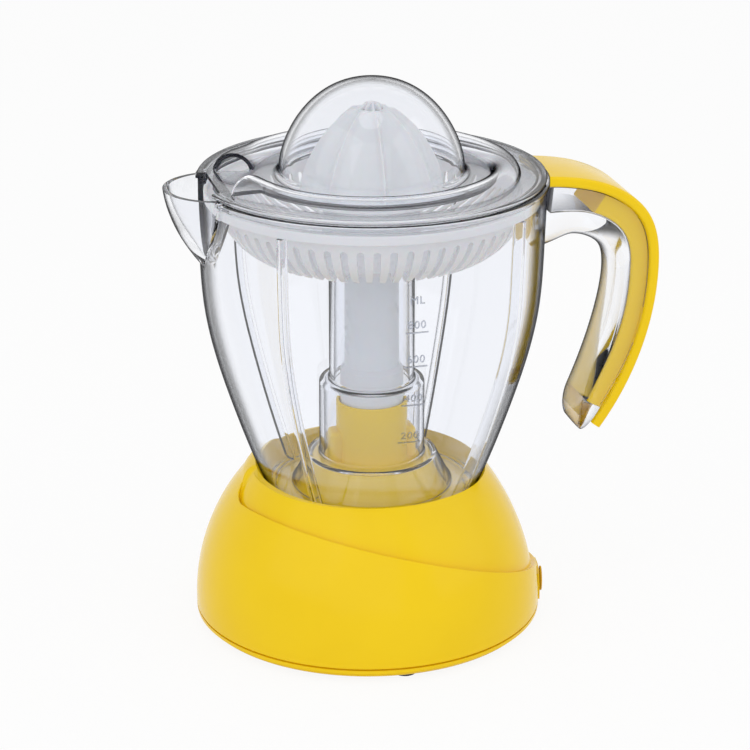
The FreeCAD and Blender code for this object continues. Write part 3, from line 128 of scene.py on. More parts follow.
def smooth(points: Sequence[Point], steps: int = 8) -> list[Point]:
    """A smooth curve through points of any number of values.

    Args:
        points: The points it goes through; the first two values set their spacing.
        steps: How many points are made between two of them.

    Returns:
        The points of the curve, the given ones among them.
    """
    knots = [0.0]
    for a, b in zip(points, points[1:]):
        knots.append(knots[-1] + math.dist(a[:2], b[:2]))
    slopes = list(zip(*(spline_slopes(values, knots) for values in zip(*points))))
    made = [tuple(points[0])]
    for i in range(len(points) - 1):
        span = knots[i + 1] - knots[i]
        for j in range(1, steps + 1):
            t = j / steps
            leave, reach = t * (1 - t) ** 2 * span, t * t * (t - 1) * span
            made.append(tuple(
                p + (q - p) * ease(t) + leave * a + reach * b
                for p, q, a, b in zip(points[i], points[i + 1], slopes[i], slopes[i + 1])
            ))
    return made


def rounded(corners: Sequence[Point], steps: int = 6) -> list[Point]:
    """A closed outline with rounded corners.

    Args:
        corners: Each corner's two values, and a third for the radius of its rounding where it has one.
        steps: How many points a rounding has, less one.

    Returns:
        The outline's points.
    """
    made = []
    for i, corner in enumerate(corners):
        here = Vector(corner[:2])
        radius = corner[2] if len(corner) > 2 else 0.0
        back = Vector(corners[i - 1][:2]) - here
        on = Vector(corners[(i + 1) % len(corners)][:2]) - here
        half = back.angle(on, math.pi) / 2
        if radius == 0 or half < STRAIGHT or half > math.pi / 2 - STRAIGHT:
            made.append(tuple(here))
            continue
        reach = min(radius / math.tan(half), EDGE_SHARE * back.length, EDGE_SHARE * on.length)
        start, end = here + back.normalized() * reach, here + on.normalized() * reach
        bow = reach * math.tan(half) * (1 / math.sin(half) - 1)
        top_drop = (here - (start + end) / 2).length - bow
        side = 1 if (end - start).cross(here - start) < 0 else -1
        made += [tuple(start)] + arc(tuple(start), tuple(end), side * top_drop, steps)
    return made


def column(radius: float, low: float, high: float) -> list[Point]:
    """The outline of a plain round block on the axis."""
    return [(0, low), (radius, low), (radius, high), (0, high)]


def slab(half: float, depths: Point, rounds: Point, steps: int) -> list[Point]:
    """The section of a bar between two depths, with a rounding for the corners at each."""
    (low, high), (low_round, high_round) = depths, rounds
    near, far = (half, low, low_round), (half, high, high_round)
    return rounded([near, far, (-half, *far[1:]), (-half, *near[1:])], steps)


def ease(value: float) -> float:
    """A smooth step from 0 to 1."""
    value = min(1.0, max(0.0, value))
    return value * value * (3 - 2 * value)


class Join(Enum):
    """How a tool mesh is put to a target mesh."""

    CUT = "DIFFERENCE"
    ADD = "UNION"


class Bench:
    """The modelling moves that the sub-assemblies share."""

    @staticmethod
    def clear() -> None:
        """Leaves edit mode and deselects everything."""
        if bpy.context.mode != "OBJECT":
            bpy.ops.object.mode_set(mode="OBJECT")
        bpy.ops.object.select_all(action="DESELECT")

    @staticmethod
    def pick(obj: Mesh) -> None:
        """Makes obj the active object and the only one selected."""
        Bench.clear()
        obj.select_set(True)
        bpy.context.view_layer.objects.active = obj

    @staticmethod
    def started(name: str) -> Mesh:
        """The primitive that was just added, under its name and in edit mode."""
        obj = bpy.context.object
        obj.name = name
        obj.data.name = name
        bpy.ops.object.mode_set(mode="EDIT")
        bpy.ops.mesh.select_all(action="SELECT")
        return obj

    @staticmethod
    def close() -> None:
        """Merges what meets, turns all faces outwards and leaves edit mode."""
        bpy.ops.mesh.select_all(action="SELECT")
        bpy.ops.mesh.remove_doubles(threshold=MERGE)
        bpy.ops.mesh.normals_make_consistent(inside=False)
        bpy.ops.object.mode_set(mode="OBJECT")

    @staticmethod
    def lathe(name: str, outline: Sequence[Point], closed: bool = True, x: float = 0.0,
              steps: int = LATHE_STEPS) -> Mesh:
        """Spins an outline about an upright axis.

        Args:
            name: The mesh's name.
            outline: Radius and height of each point.
            closed: Whether the last point joins the first; if not, both lie on the axis.
            x: Where the axis stands.
            steps: How many sides a full turn has.

        Returns:
            The closed mesh.
        """
        Bench.clear()
        bpy.ops.mesh.primitive_plane_add(size=1.0)
        obj = Bench.started(name)
        bpy.ops.mesh.merge(type="CENTER")
        places = [Vector((x + point[0], 0, point[1])) for point in outline]
        if closed:
            places.append(places[0])
        bpy.ops.transform.translate(value=places[0])
        for here, there in zip(places, places[1:]):
            bpy.ops.mesh.extrude_vertices_move(TRANSFORM_OT_translate={"value": there - here})
        bpy.ops.mesh.select_all(action="SELECT")
        if closed:
            bpy.ops.mesh.remove_doubles(threshold=SAME)
            bpy.ops.mesh.select_all(action="SELECT")
        bpy.ops.mesh.spin(steps=steps, angle=2 * math.pi, center=(x, 0, 0), axis=(0, 0, 1))
        Bench.close()
        return obj

    @staticmethod
    def grid(name: str, columns: int, rows: int) -> Mesh:
        """A sheet of the unit square, left in edit mode to be divided and shaped."""
        Bench.clear()
        bpy.ops.mesh.primitive_grid_add(x_subdivisions=columns, y_subdivisions=rows, size=1.0)
        obj = Bench.started(name)
        bpy.ops.transform.translate(value=(0.5, 0.5, 0))
        return obj

    @staticmethod
    def divide(obj: Mesh, near: Callable[[float, float], bool]) -> None:
        """Halves the faces of an edited sheet whose middle is near what needs more detail."""
        mesh = bmesh.from_edit_mesh(obj.data)
        bpy.ops.mesh.select_all(action="DESELECT")
        bpy.ops.mesh.select_mode(type="FACE")
        for face in mesh.faces:
            middle = face.calc_center_median()
            face.select_set(near(middle.x, middle.y))
        bmesh.update_edit_mesh(obj.data)
        bpy.ops.mesh.subdivide(number_cuts=1)
        bpy.ops.mesh.select_mode(type="VERT")

    @staticmethod
    def shape(obj: Mesh, place: Callable[[float, float], Vector]) -> None:
        """Moves each point of an edited sheet to its place and closes the sheet's two open ends."""
        mesh = bmesh.from_edit_mesh(obj.data)
        for vert in mesh.verts:
            vert.co = place(vert.co.x, vert.co.y)
        bmesh.update_edit_mesh(obj.data)
        bpy.ops.mesh.select_all(action="SELECT")
        bpy.ops.mesh.remove_doubles(threshold=MERGE)
        bpy.ops.mesh.fill_holes(sides=0)
        Bench.close()

    @staticmethod
    def loft(name: str, rings: Sequence[Sequence[Vector]]) -> Mesh:
        """A closed solid through rings of equally many points."""
        count = len(rings[0])
        obj = Bench.grid(name, count, len(rings) - 1)

        def place(x: float, y: float) -> Vector:
            """The ring point that a corner of the unit sheet stands for."""
            return rings[round(y * (len(rings) - 1))][round(x * count) % count]

        Bench.shape(obj, place)
        return obj

    @staticmethod
    def block(name: str, low: Point, high: Point, bevel: float = 0.0) -> Mesh:
        """A box between two corners with its edges rounded."""
        Bench.clear()
        bpy.ops.mesh.primitive_cube_add(size=1.0)
        obj = Bench.started(name)
        bpy.ops.transform.resize(value=[b - a for a, b in zip(low, high)])
        bpy.ops.transform.translate(value=[(a + b) / 2 for a, b in zip(low, high)])
        if bevel:
            bpy.ops.mesh.bevel(offset=bevel, segments=BEVEL_STEPS, affect="EDGES")
        Bench.close()
        return obj

    @staticmethod
    def rod(name: str, radius: float, start: Point, end: Point) -> Mesh:
        """A round bar between two points."""
        way = Vector(end) - Vector(start)
        turn = Vector((0, 0, 1)).rotation_difference(way).to_euler()
        middle = (Vector(start) + Vector(end)) / 2
        Bench.clear()
        bpy.ops.mesh.primitive_cylinder_add(
            vertices=ROD_SIDES, radius=radius, depth=way.length, location=middle, rotation=turn)
        obj = Bench.started(name)
        Bench.close()
        bpy.ops.object.transform_apply(location=True, rotation=True, scale=True)
        return obj

    @staticmethod
    def join(target: Mesh, tool: Mesh, how: Join) -> Mesh:
        """Cuts a tool mesh out of the target or adds it, and uses the tool up."""
        Bench.pick(target)
        modifier = target.modifiers.new("join", "BOOLEAN")
        modifier.object = tool
        modifier.operation = how.value
        modifier.solver = "MANIFOLD"
        bpy.ops.object.modifier_apply(modifier=modifier.name)
        bpy.data.objects.remove(tool, do_unlink=True)
        return target

    @staticmethod
    def copies(obj: Mesh, turns: Sequence[float]) -> list[Mesh]:
        """Copies of a mesh, each turned about the drive axis by its own angle in degrees."""
        made = []
        for i, degrees in enumerate(turns):
            Bench.pick(obj)
            bpy.ops.object.duplicate()
            copy = bpy.context.object
            copy.name = f"{obj.name}_{i}"
            copy.data.transform(Matrix.Rotation(math.radians(degrees), 4, "Z"))
            made.append(copy)
        return made

    @staticmethod
    def gather(name: str, parts: Sequence[Mesh]) -> Mesh:
        """Joins meshes that don't meet into one object."""
        Bench.pick(parts[0])
        for part in parts[1:]:
            part.select_set(True)
        if len(parts) > 1:
            bpy.ops.object.join()
        parts[0].name = name
        parts[0].data.name = name
        return parts[0]


class Board:
    """The node tree of a material or of the world, drawn node by node."""

    def __init__(self, owner: Material | bpy.types.World) -> None:
        """Starts an empty tree on its owner."""
        self.owner = owner
        owner.use_nodes = True
        self.tree = owner.node_tree
        self.tree.nodes.clear()

    def add(self, kind: str, settings: dict | None = None, **sockets: object) -> bpy.types.Node:
        """Adds a node.

        Args:
            kind: The node type's name without its ShaderNode prefix.
            settings: Attributes of the node.
            sockets: Values or outputs for its inputs, by name with underscores for spaces, or by number.

        Returns:
            The node.
        """
        node = self.tree.nodes.new("ShaderNode" + kind)
        for key, value in (settings or {}).items():
            setattr(node, key, value)
        for key, value in sockets.items():
            socket = node.inputs[int(key[1:])] if key[0] == "_" else node.inputs[key.replace("_", " ")]
            if isinstance(value, Socket):
                self.tree.links.new(value, socket)
            else:
                socket.default_value = value
        return node

    def noise(self, scale: float, detail: float = 3.0) -> Socket:
        """A noise value on the piece's own coordinates, its scale in features per metre."""
        where = self.add("TexCoord").outputs["Object"]
        return self.add("TexNoise", Vector=where, Scale=scale, Detail=detail).outputs["Fac"]

    def spread(self, value: Socket, low: float, high: float) -> Socket:
        """A noise value spread over a range."""
        first, last = NOISE_RANGE
        return self.add("MapRange", Value=value, _1=first, _2=last, _3=low, _4=high).outputs["Result"]

    def tint(self, share: Socket, low: Point, high: Point) -> Socket:
        """A colour between two by a share."""
        return self.add("Mix", {"data_type": "RGBA"}, _0=share, _6=(*low, 1), _7=(*high, 1)).outputs[2]

    def bump(self, height: Socket, strength: float, distance: float) -> Socket:
        """A bumped normal from a height."""
        return self.add("Bump", Height=height, Strength=strength, Distance=distance).outputs["Normal"]

    def most(self, path: bpy.types.Node, *rays: str) -> Socket:
        """1 where a light path is of one of the kinds of rays."""
        made = path.outputs[rays[0]]
        for ray in rays[1:]:
            made = self.add("Math", {"operation": "MAXIMUM"}, _0=made, _1=path.outputs[ray]).outputs["Value"]
        return made

    def mixed(self, share: Socket, low: Socket, high: Socket) -> Socket:
        """A shader between two by a share."""
        return self.add("MixShader", _0=share, _1=low, _2=high).outputs["Shader"]

    def done(self, shader: Socket) -> Material:
        """Puts the shader out as the surface and gives the material."""
        self.add("OutputMaterial", Surface=shader)
        return self.owner


@dataclass(frozen=True)
class Moulded:
    """A moulded plastic or rubber: a colour that drifts a little, a gloss that varies and a fine grain."""

    name: str
    light: Point
    deep: Point
    gloss: Point
    grain: float = 0.02
    glow: float = 0.0
    glow_depth: float = 0.004
    drift_scale: float = 22.0
    gloss_scale: float = 160.0
    grain_scale: float = 2600.0
    grain_detail: float = 2.0
    grain_height: float = 0.0002
    ior: float = 1.42
    shine: float = 0.26

    def material(self) -> Material:
        """The finish as a node material."""
        board = Board(bpy.data.materials.new(self.name))
        colour = board.tint(board.spread(board.noise(self.drift_scale), 0, 1), self.light, self.deep)
        rough = board.spread(board.noise(self.gloss_scale), *self.gloss)
        grit = board.noise(self.grain_scale, self.grain_detail)
        shader = board.add("BsdfPrincipled", Base_Color=colour, Roughness=rough, IOR=self.ior,
                           Normal=board.bump(grit, self.grain, self.grain_height),
                           Specular_IOR_Level=self.shine, Subsurface_Weight=self.glow,
                           Subsurface_Scale=self.glow_depth)
        return board.done(shader.outputs["BSDF"])


@dataclass(frozen=True)
class Clear:
    """Clear moulded plastic: glass-like, with a painted reflection where it is seen along its surface: a
    grey-blue tint and a near-black see-through rim that stand in for a dark surround.
    """

    name: str
    facing: Point
    # The grey-blue tint at grazing angles and the edge colour are painted dark reflection; turn, rim and
    # rim_share set where they come in.
    painted_slant_tint: Point
    edge: Point
    inside: Point
    rough: Point
    ior: float
    turn: Point = (0.65, 0.95)
    rim: Point = (0.62, 0.88)
    rim_share: float = 0.9
    gloss_scale: float = 90.0

    def material(self) -> Material:
        """The finish as a node material that lets lamps and diffuse light through."""
        board = Board(bpy.data.materials.new(self.name))
        # Painted reflection: the colour turns grey-blue where the surface is seen edge-on.
        along = board.add("LayerWeight", Blend=0.5).outputs["Facing"]
        slant = board.add("MapRange", Value=along, _1=self.turn[0], _2=self.turn[1]).outputs["Result"]
        colour = board.tint(slant, self.facing, self.painted_slant_tint)
        rough = board.spread(board.noise(self.gloss_scale), *self.rough)
        glass = board.add("BsdfPrincipled", Base_Color=colour, Roughness=rough, IOR=self.ior,
                          Transmission_Weight=1.0).outputs["BSDF"]
        # Painted dark rim: a near-black see-through blend at grazing angles stands in for the reflection of
        # a dark surround.
        dark = board.add("BsdfTransparent", Color=(*self.edge, 1)).outputs["BSDF"]
        share = board.add("MapRange", {"interpolation_type": "SMOOTHSTEP"}, Value=along, _1=self.rim[0],
                          _2=self.rim[1], _4=self.rim_share).outputs["Result"]
        through = board.add("BsdfTransparent", Color=(*self.inside, 1)).outputs["BSDF"]
        lamp = board.most(board.add("LightPath"), "Is Shadow Ray", "Is Diffuse Ray")
        return board.done(board.mixed(lamp, board.mixed(share, glass, dark), through))


@dataclass(frozen=True)
class Metal:
    """Bare or plated metal with fine drawn lines along one axis."""

    name: str
    light: Point
    deep: Point
    gloss: Point
    lines: Point
    line_detail: float = 4.0
    line_strength: float = 0.15
    line_height: float = 0.0001
    drift_scale: float = 60.0

    def material(self) -> Material:
        """The finish as a node material."""
        board = Board(bpy.data.materials.new(self.name))
        where = board.add("TexCoord").outputs["Object"]
        stretched = board.add("Mapping", Vector=where, Scale=self.lines).outputs["Vector"]
        drawn = board.add("TexNoise", Vector=stretched, Scale=1.0, Detail=self.line_detail).outputs["Fac"]
        colour = board.tint(board.spread(board.noise(self.drift_scale), 0, 1), self.light, self.deep)
        shader = board.add("BsdfPrincipled", Base_Color=colour, Roughness=board.spread(drawn, *self.gloss),
                           Metallic=1.0, Normal=board.bump(drawn, self.line_strength, self.line_height))
        return board.done(shader.outputs["BSDF"])


Finish = Moulded | Clear | Metal

YELLOW = Moulded("yellow_plastic", (0.93, 0.635, 0.006), (0.90, 0.605, 0.005), (0.14, 0.22), 0.012)
WHITE = Moulded("white_plastic", (0.80, 0.81, 0.83), (0.75, 0.765, 0.79), (0.24, 0.34), 0.02, 0.15)
RUBBER = Moulded("black_rubber", (0.016, 0.016, 0.017), (0.028, 0.028, 0.03), (0.6, 0.8), 0.2)
YELLOW_RUBBER = Moulded("yellow_rubber", (0.76, 0.46, 0.01), (0.70, 0.41, 0.008), (0.5, 0.65), 0.1)
DARK = Moulded("dark_plastic", (0.03, 0.03, 0.034), (0.045, 0.045, 0.05), (0.4, 0.55), 0.08)
NYLON = Moulded("gear_nylon", (0.74, 0.72, 0.64), (0.68, 0.65, 0.56), (0.35, 0.5), 0.04, 0.15)
# In CLEAR and PRINT, the second colour is the painted grey-blue reflection and the third the painted dark
# rim.
CLEAR = Clear("clear_plastic", (0.945, 0.955, 0.982), (0.62, 0.65, 0.74), (0.03, 0.032, 0.045),
              (0.955, 0.958, 0.965), (0.0, 0.02), 1.46)
PRINT = Clear("clear_print", (0.72, 0.75, 0.82), (0.45, 0.48, 0.56), (0.06, 0.062, 0.08),
              (0.98, 0.982, 0.987), (0.2, 0.3), 1.3)
STEEL = Metal("bright_steel", (0.58, 0.58, 0.60), (0.50, 0.50, 0.52), (0.22, 0.38), (400, 4000, 4000))
ZINC = Metal("zinc_steel", (0.55, 0.57, 0.62), (0.46, 0.48, 0.52), (0.3, 0.5), (900, 900, 900))
LAMINATED = Metal("core_steel", (0.36, 0.36, 0.38), (0.28, 0.28, 0.30), (0.4, 0.6), (40, 40, 2000))
BRONZE = Metal("sintered_bronze", (0.50, 0.32, 0.15), (0.42, 0.26, 0.12), (0.35, 0.5), (3000, 3000, 3000))
COPPER = Metal("enamelled_copper", (0.60, 0.22, 0.07), (0.48, 0.16, 0.05), (0.2, 0.35), (60, 3000, 60))


class Finishing:
    """Sets finished meshes in the frame and gives every piece its material."""

    def __init__(self) -> None:
        """Starts with no materials made."""
        self.made: dict[str, Material] = {}

    def material(self, finish: Finish) -> Material:
        """The material of a finish, made once."""
        if finish.name not in self.made:
            self.made[finish.name] = finish.material()
        return self.made[finish.name]

    def place(self, obj: Mesh, body: str, slot: str, finish: Finish, nodes: Sequence[str]) -> Mesh:
        """Sets a mesh in the frame as a piece of a body.

        Args:
            obj: The mesh, in millimetres about the drive axis.
            body: The body that it rides on.
            slot: The record's material slot; not used.
            finish: Its finish.
            nodes: The CAD nodes that it stands for.

        Returns:
            The piece.
        """
        Bench.pick(obj)
        obj.data.transform(Matrix.Translation((AXIS_X, 0, 0)) @ Matrix.Scale(MM, 4))
        bpy.ops.object.shade_smooth_by_angle(angle=SHARP)
        obj.data.materials.clear()
        obj.data.materials.append(self.material(finish))
        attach(obj, body)
        if nodes:
            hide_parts(*nodes)
        log.info("%s on %s: %d faces", obj.name, body, len(obj.data.polygons))
        return obj

    def dress(self, finish: Finish, *nodes: str) -> None:
        """Gives CAD nodes that stay in view a finish."""
        for node in nodes:
            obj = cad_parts[node]
            if not obj.material_slots:
                obj.data.materials.append(None)
            for held in obj.material_slots:
                held.material = self.material(finish)
            log.info("%s keeps its solid, in %s", node, finish.name)


@dataclass(frozen=True)
class Posts:
    """Screw posts of one kind: their places, and the radius and heights of post and thread."""

    places: tuple[Point, ...]
    radius: float
    heights: Point
    thread: float
    thread_heights: Point

    def add(self, body: Mesh) -> None:
        """Adds the posts to a body and bores them."""
        for place in self.places:
            post = [(*place, height) for height in self.heights]
            thread = [(*place, height) for height in self.thread_heights]
            Bench.join(body, Bench.rod("post", self.radius, *post), Join.ADD)
            Bench.join(body, Bench.rod("thread", self.thread, *thread), Join.CUT)


PLATE_POSTS = Posts(((-25, -12), (25, -12), (27.5, 27), (-27.5, 27)), 3.6, (50.05, 57.4), 1.55, (48, 56))
COVER_POSTS = Posts(((-52, -30), (52, -30), (52, 30), (-52, 30)), 4.0, (4.05, 42), 1.65, (2, 18))


@dataclass
class Housing:
    """The yellow motor base: a skirt with a swept step over a crown, the jug's well and the drive boss."""

    radius: float = 75.3
    offset: float = 1.9
    foot: float = 4.0
    groove: float = 0.5
    seam: Point = (5.9, 6.8)
    seam_depth: float = 1.3
    shoulder: Point = (55.0, 64.8)
    skirt_bulge: float = 6.0
    skirt_rim: Point = (47.0, 71.4)
    rim_bulge: float = 1.5
    crown_inset: float = 1.4
    crown_rim: Point = (50.5, 68.8)
    crown_bulge: float = 5.5
    wall: float = 2.6
    sweep_height: float = 41.5
    sweep_tilt: float = 18.9
    sweep_azimuth: float = 27.5
    collar_azimuth: float = 163.0
    collar_half: float = 17.0
    collar_corner: float = 14.0
    step_width: float = 2.2
    step_spread: float = 2.6
    spread_start: float = 0.5
    spread_run: float = 0.4
    step_detail: Point = (4.4, 3.0, 1.9)
    cavity_inset: float = 0.4
    well_floor: float = 58.5
    well_ceiling: float = 56.3
    well_gap: float = 0.8
    well_bevel: float = 1.5
    well_step: float = 2.0
    well_levels: int = 24
    mound: Point = (32.0, 25.0)
    mound_top: float = 73.5
    mound_wall: float = 2.2
    mound_root: float = 0.7
    mound_flare: float = 2.5
    mound_foot: float = 1.2
    mound_sink: float = 0.05
    boss: float = 15.4
    boss_top: float = 100.0
    boss_wall: float = 1.5
    cup_floor: float = 75.5
    lobe_reach: float = 18.9
    lobe_width: float = 11.0
    lobe_top: float = 87.0
    lobe_root: float = 4.0
    lobe_round: float = 2.2
    neck: float = 10.0
    bush: float = 7.0
    bore_low: float = 50.0
    bore_bevel: float = 0.6
    bore_past: Point = (0.1, 2.0)
    inlet_azimuth: float = -12.0
    inlet_height: float = 13.0
    inlet_radius: float = 4.25
    inlet_cut: Point = (40.0, 90.0)
    columns: int = 180
    rows: int = 44

    def __post_init__(self) -> None:
        """Draws the two outlines that the skin runs between."""
        low = self.foot + self.groove
        skirt_foot = (self.radius, low)
        crown_foot = (self.radius - self.crown_inset, low)
        skirt = [skirt_foot] + arc(skirt_foot, self.shoulder, self.skirt_bulge, 48)
        self.skirt = skirt + arc(self.shoulder, self.skirt_rim, self.rim_bulge, 10)
        self.crown = [crown_foot] + arc(crown_foot, self.crown_rim, self.crown_bulge, 58)
        downhill = math.radians(self.sweep_azimuth)
        hinge = Vector((-math.sin(downhill), math.cos(downhill), 0))
        tilt = Matrix.Rotation(math.radians(self.sweep_tilt), 4, hinge)
        turn = Matrix.Rotation(math.radians(self.collar_azimuth), 4, "Z")
        self.to_step = (Matrix.Translation((0, 0, self.sweep_height)) @ tilt @ turn).inverted()

    @staticmethod
    def along(outline: Sequence[Point], share: float) -> Point:
        """The point at a share of an outline's points."""
        place = min(max(share, 0.0), 1.0) * (len(outline) - 1)
        i = min(int(place), len(outline) - 2)
        part = place - i
        return tuple(a + (b - a) * part for a, b in zip(outline[i], outline[i + 1]))

    def stand(self, turn: float, point: Point) -> Vector:
        """A point of an outline at a share of a full turn."""
        angle = 2 * math.pi * turn
        return Vector((point[0] * math.cos(angle) - self.offset, point[0] * math.sin(angle), point[1]))

    def above_step(self, turn: float, share: float) -> float:
        """How far a place of the skirt lies above the swept step's edge; less than 0 is below it."""
        local = self.to_step @ self.stand(turn, self.along(self.skirt, share))
        side = abs(local.y) - self.collar_half
        inner = Vector((self.collar_corner - side, self.collar_corner - local.z))
        beside = min(side, local.z)
        if inner.x > 0 and inner.y > 0:
            beside = self.collar_corner - inner.length
        return max(beside, min(local.z, -local.x))

    def skin(self, turn: float, share: float) -> Vector:
        """The place of the outer skin."""
        width = self.step_width + self.step_spread * ease((share - self.spread_start) / self.spread_run)
        level = ease(0.5 - self.above_step(turn, share) / width)
        low = self.stand(turn, self.along(self.crown, share))
        return low.lerp(self.stand(turn, self.along(self.skirt, share)), level)

    def build(self, jug: "Jug") -> Mesh:
        """Models the base around the jug that stands in it.

        Args:
            jug: The jug whose form the well follows.

        Returns:
            The mesh.
        """
        body = Bench.grid("motor_base", self.columns, self.rows)
        for near in self.step_detail:
            Bench.divide(body, lambda turn, share: abs(self.above_step(turn, share)) < near)
        Bench.shape(body, self.skin)
        self.hollow(body, jug)
        self.add_boss(body)
        for posts in (PLATE_POSTS, COVER_POSTS):
            posts.add(body)
        angle = math.radians(self.inlet_azimuth)
        way = Vector((math.cos(angle), math.sin(angle), 0))
        start = Vector((-self.offset, 0, self.inlet_height))
        ends = [start + way * reach for reach in self.inlet_cut]
        hole = Bench.rod("inlet", self.inlet_radius, *ends)
        return Bench.join(body, hole, Join.CUT)

    def hollow(self, body: Mesh, jug: "Jug") -> None:
        """Sets the foot and cuts the inside, the seam above the foot and the jug's well."""
        foot = (self.radius - self.crown_inset - self.wall, self.foot - PAST)
        rim = (self.crown_rim[0] - self.wall, self.crown_rim[1])
        side = [p for p in [foot] + arc(foot, rim, self.crown_bulge, 40) if p[1] < self.well_ceiling]
        corner = (side[-1][0] - self.cavity_inset, self.well_ceiling)
        cavity = [(0, foot[1]), *side, corner, (0, self.well_ceiling)]
        base = column(self.radius - self.groove, self.foot, self.foot + 2 * self.groove)
        inner, outer = self.radius - self.seam_depth, self.radius + PAST
        low, high = self.seam
        seam = [(inner, low), (outer, low), (outer, high), (inner, high)]
        Bench.join(body, Bench.lathe("foot", base, False, -self.offset), Join.ADD)
        Bench.join(body, Bench.lathe("cavity", cavity, False, -self.offset), Join.CUT)
        Bench.join(body, Bench.lathe("seam", seam, True, -self.offset), Join.CUT)
        edge, floor = jug.radius_at(self.well_floor) + self.well_gap, self.well_floor
        heights = [floor + self.well_step * (i + 1) for i in range(self.well_levels)]
        well = [(0, floor), (edge - self.well_bevel, floor), (edge, floor + self.well_bevel)]
        well += [(jug.radius_at(height) + self.well_gap, height) for height in heights]
        Bench.join(body, Bench.lathe("well", well + [(0, heights[-1])], False), Join.CUT)

    def add_boss(self, body: Mesh) -> None:
        """Adds the mound and the lobed boss that the jug's column goes over, and bores them."""
        root = self.well_ceiling + self.mound_root
        boss = rounded([
            (0, root),
            (self.mound[0] + self.mound_flare, root),
            (self.mound[0] + self.mound_foot, self.well_floor + self.mound_sink),
            (self.mound[0], self.well_floor + self.mound_foot, 1.0),
            (self.mound[1], self.mound_top, 1.5),
            (self.boss, self.mound_top, 1.0),
            (self.boss, self.boss_top, 0.7),
            (0, self.boss_top),
        ])
        Bench.join(body, Bench.lathe("boss", boss, False), Join.ADD)
        half = self.lobe_width / 2
        lobe = Bench.block("lobe", (-self.lobe_reach, -half, self.mound_top - self.lobe_root),
                           (self.lobe_reach, half, self.lobe_top), self.lobe_round)
        Bench.join(body, lobe, Join.ADD)
        low, high = self.well_ceiling - PAST, self.mound_top - self.mound_wall
        under = [
            (self.neck, low),
            (self.mound[0] - self.wall, low),
            (self.mound[0] - self.wall, self.well_ceiling),
            (self.mound[1] - self.wall, high),
            (self.neck, high),
        ]
        Bench.join(body, Bench.lathe("under", under, True), Join.CUT)
        cup = self.boss - self.boss_wall
        wide = cup + self.bore_bevel
        past, top = (self.boss_top + past for past in self.bore_past)
        bore = rounded([
            (0, self.bore_low),
            (self.bush, self.bore_low),
            (self.bush, self.cup_floor),
            (cup, self.cup_floor, 1.0),
            (cup, self.boss_top - self.bore_bevel),
            (wide, past),
            (wide, top),
            (0, top),
        ])
        Bench.join(body, Bench.lathe("bore", bore, False), Join.CUT)


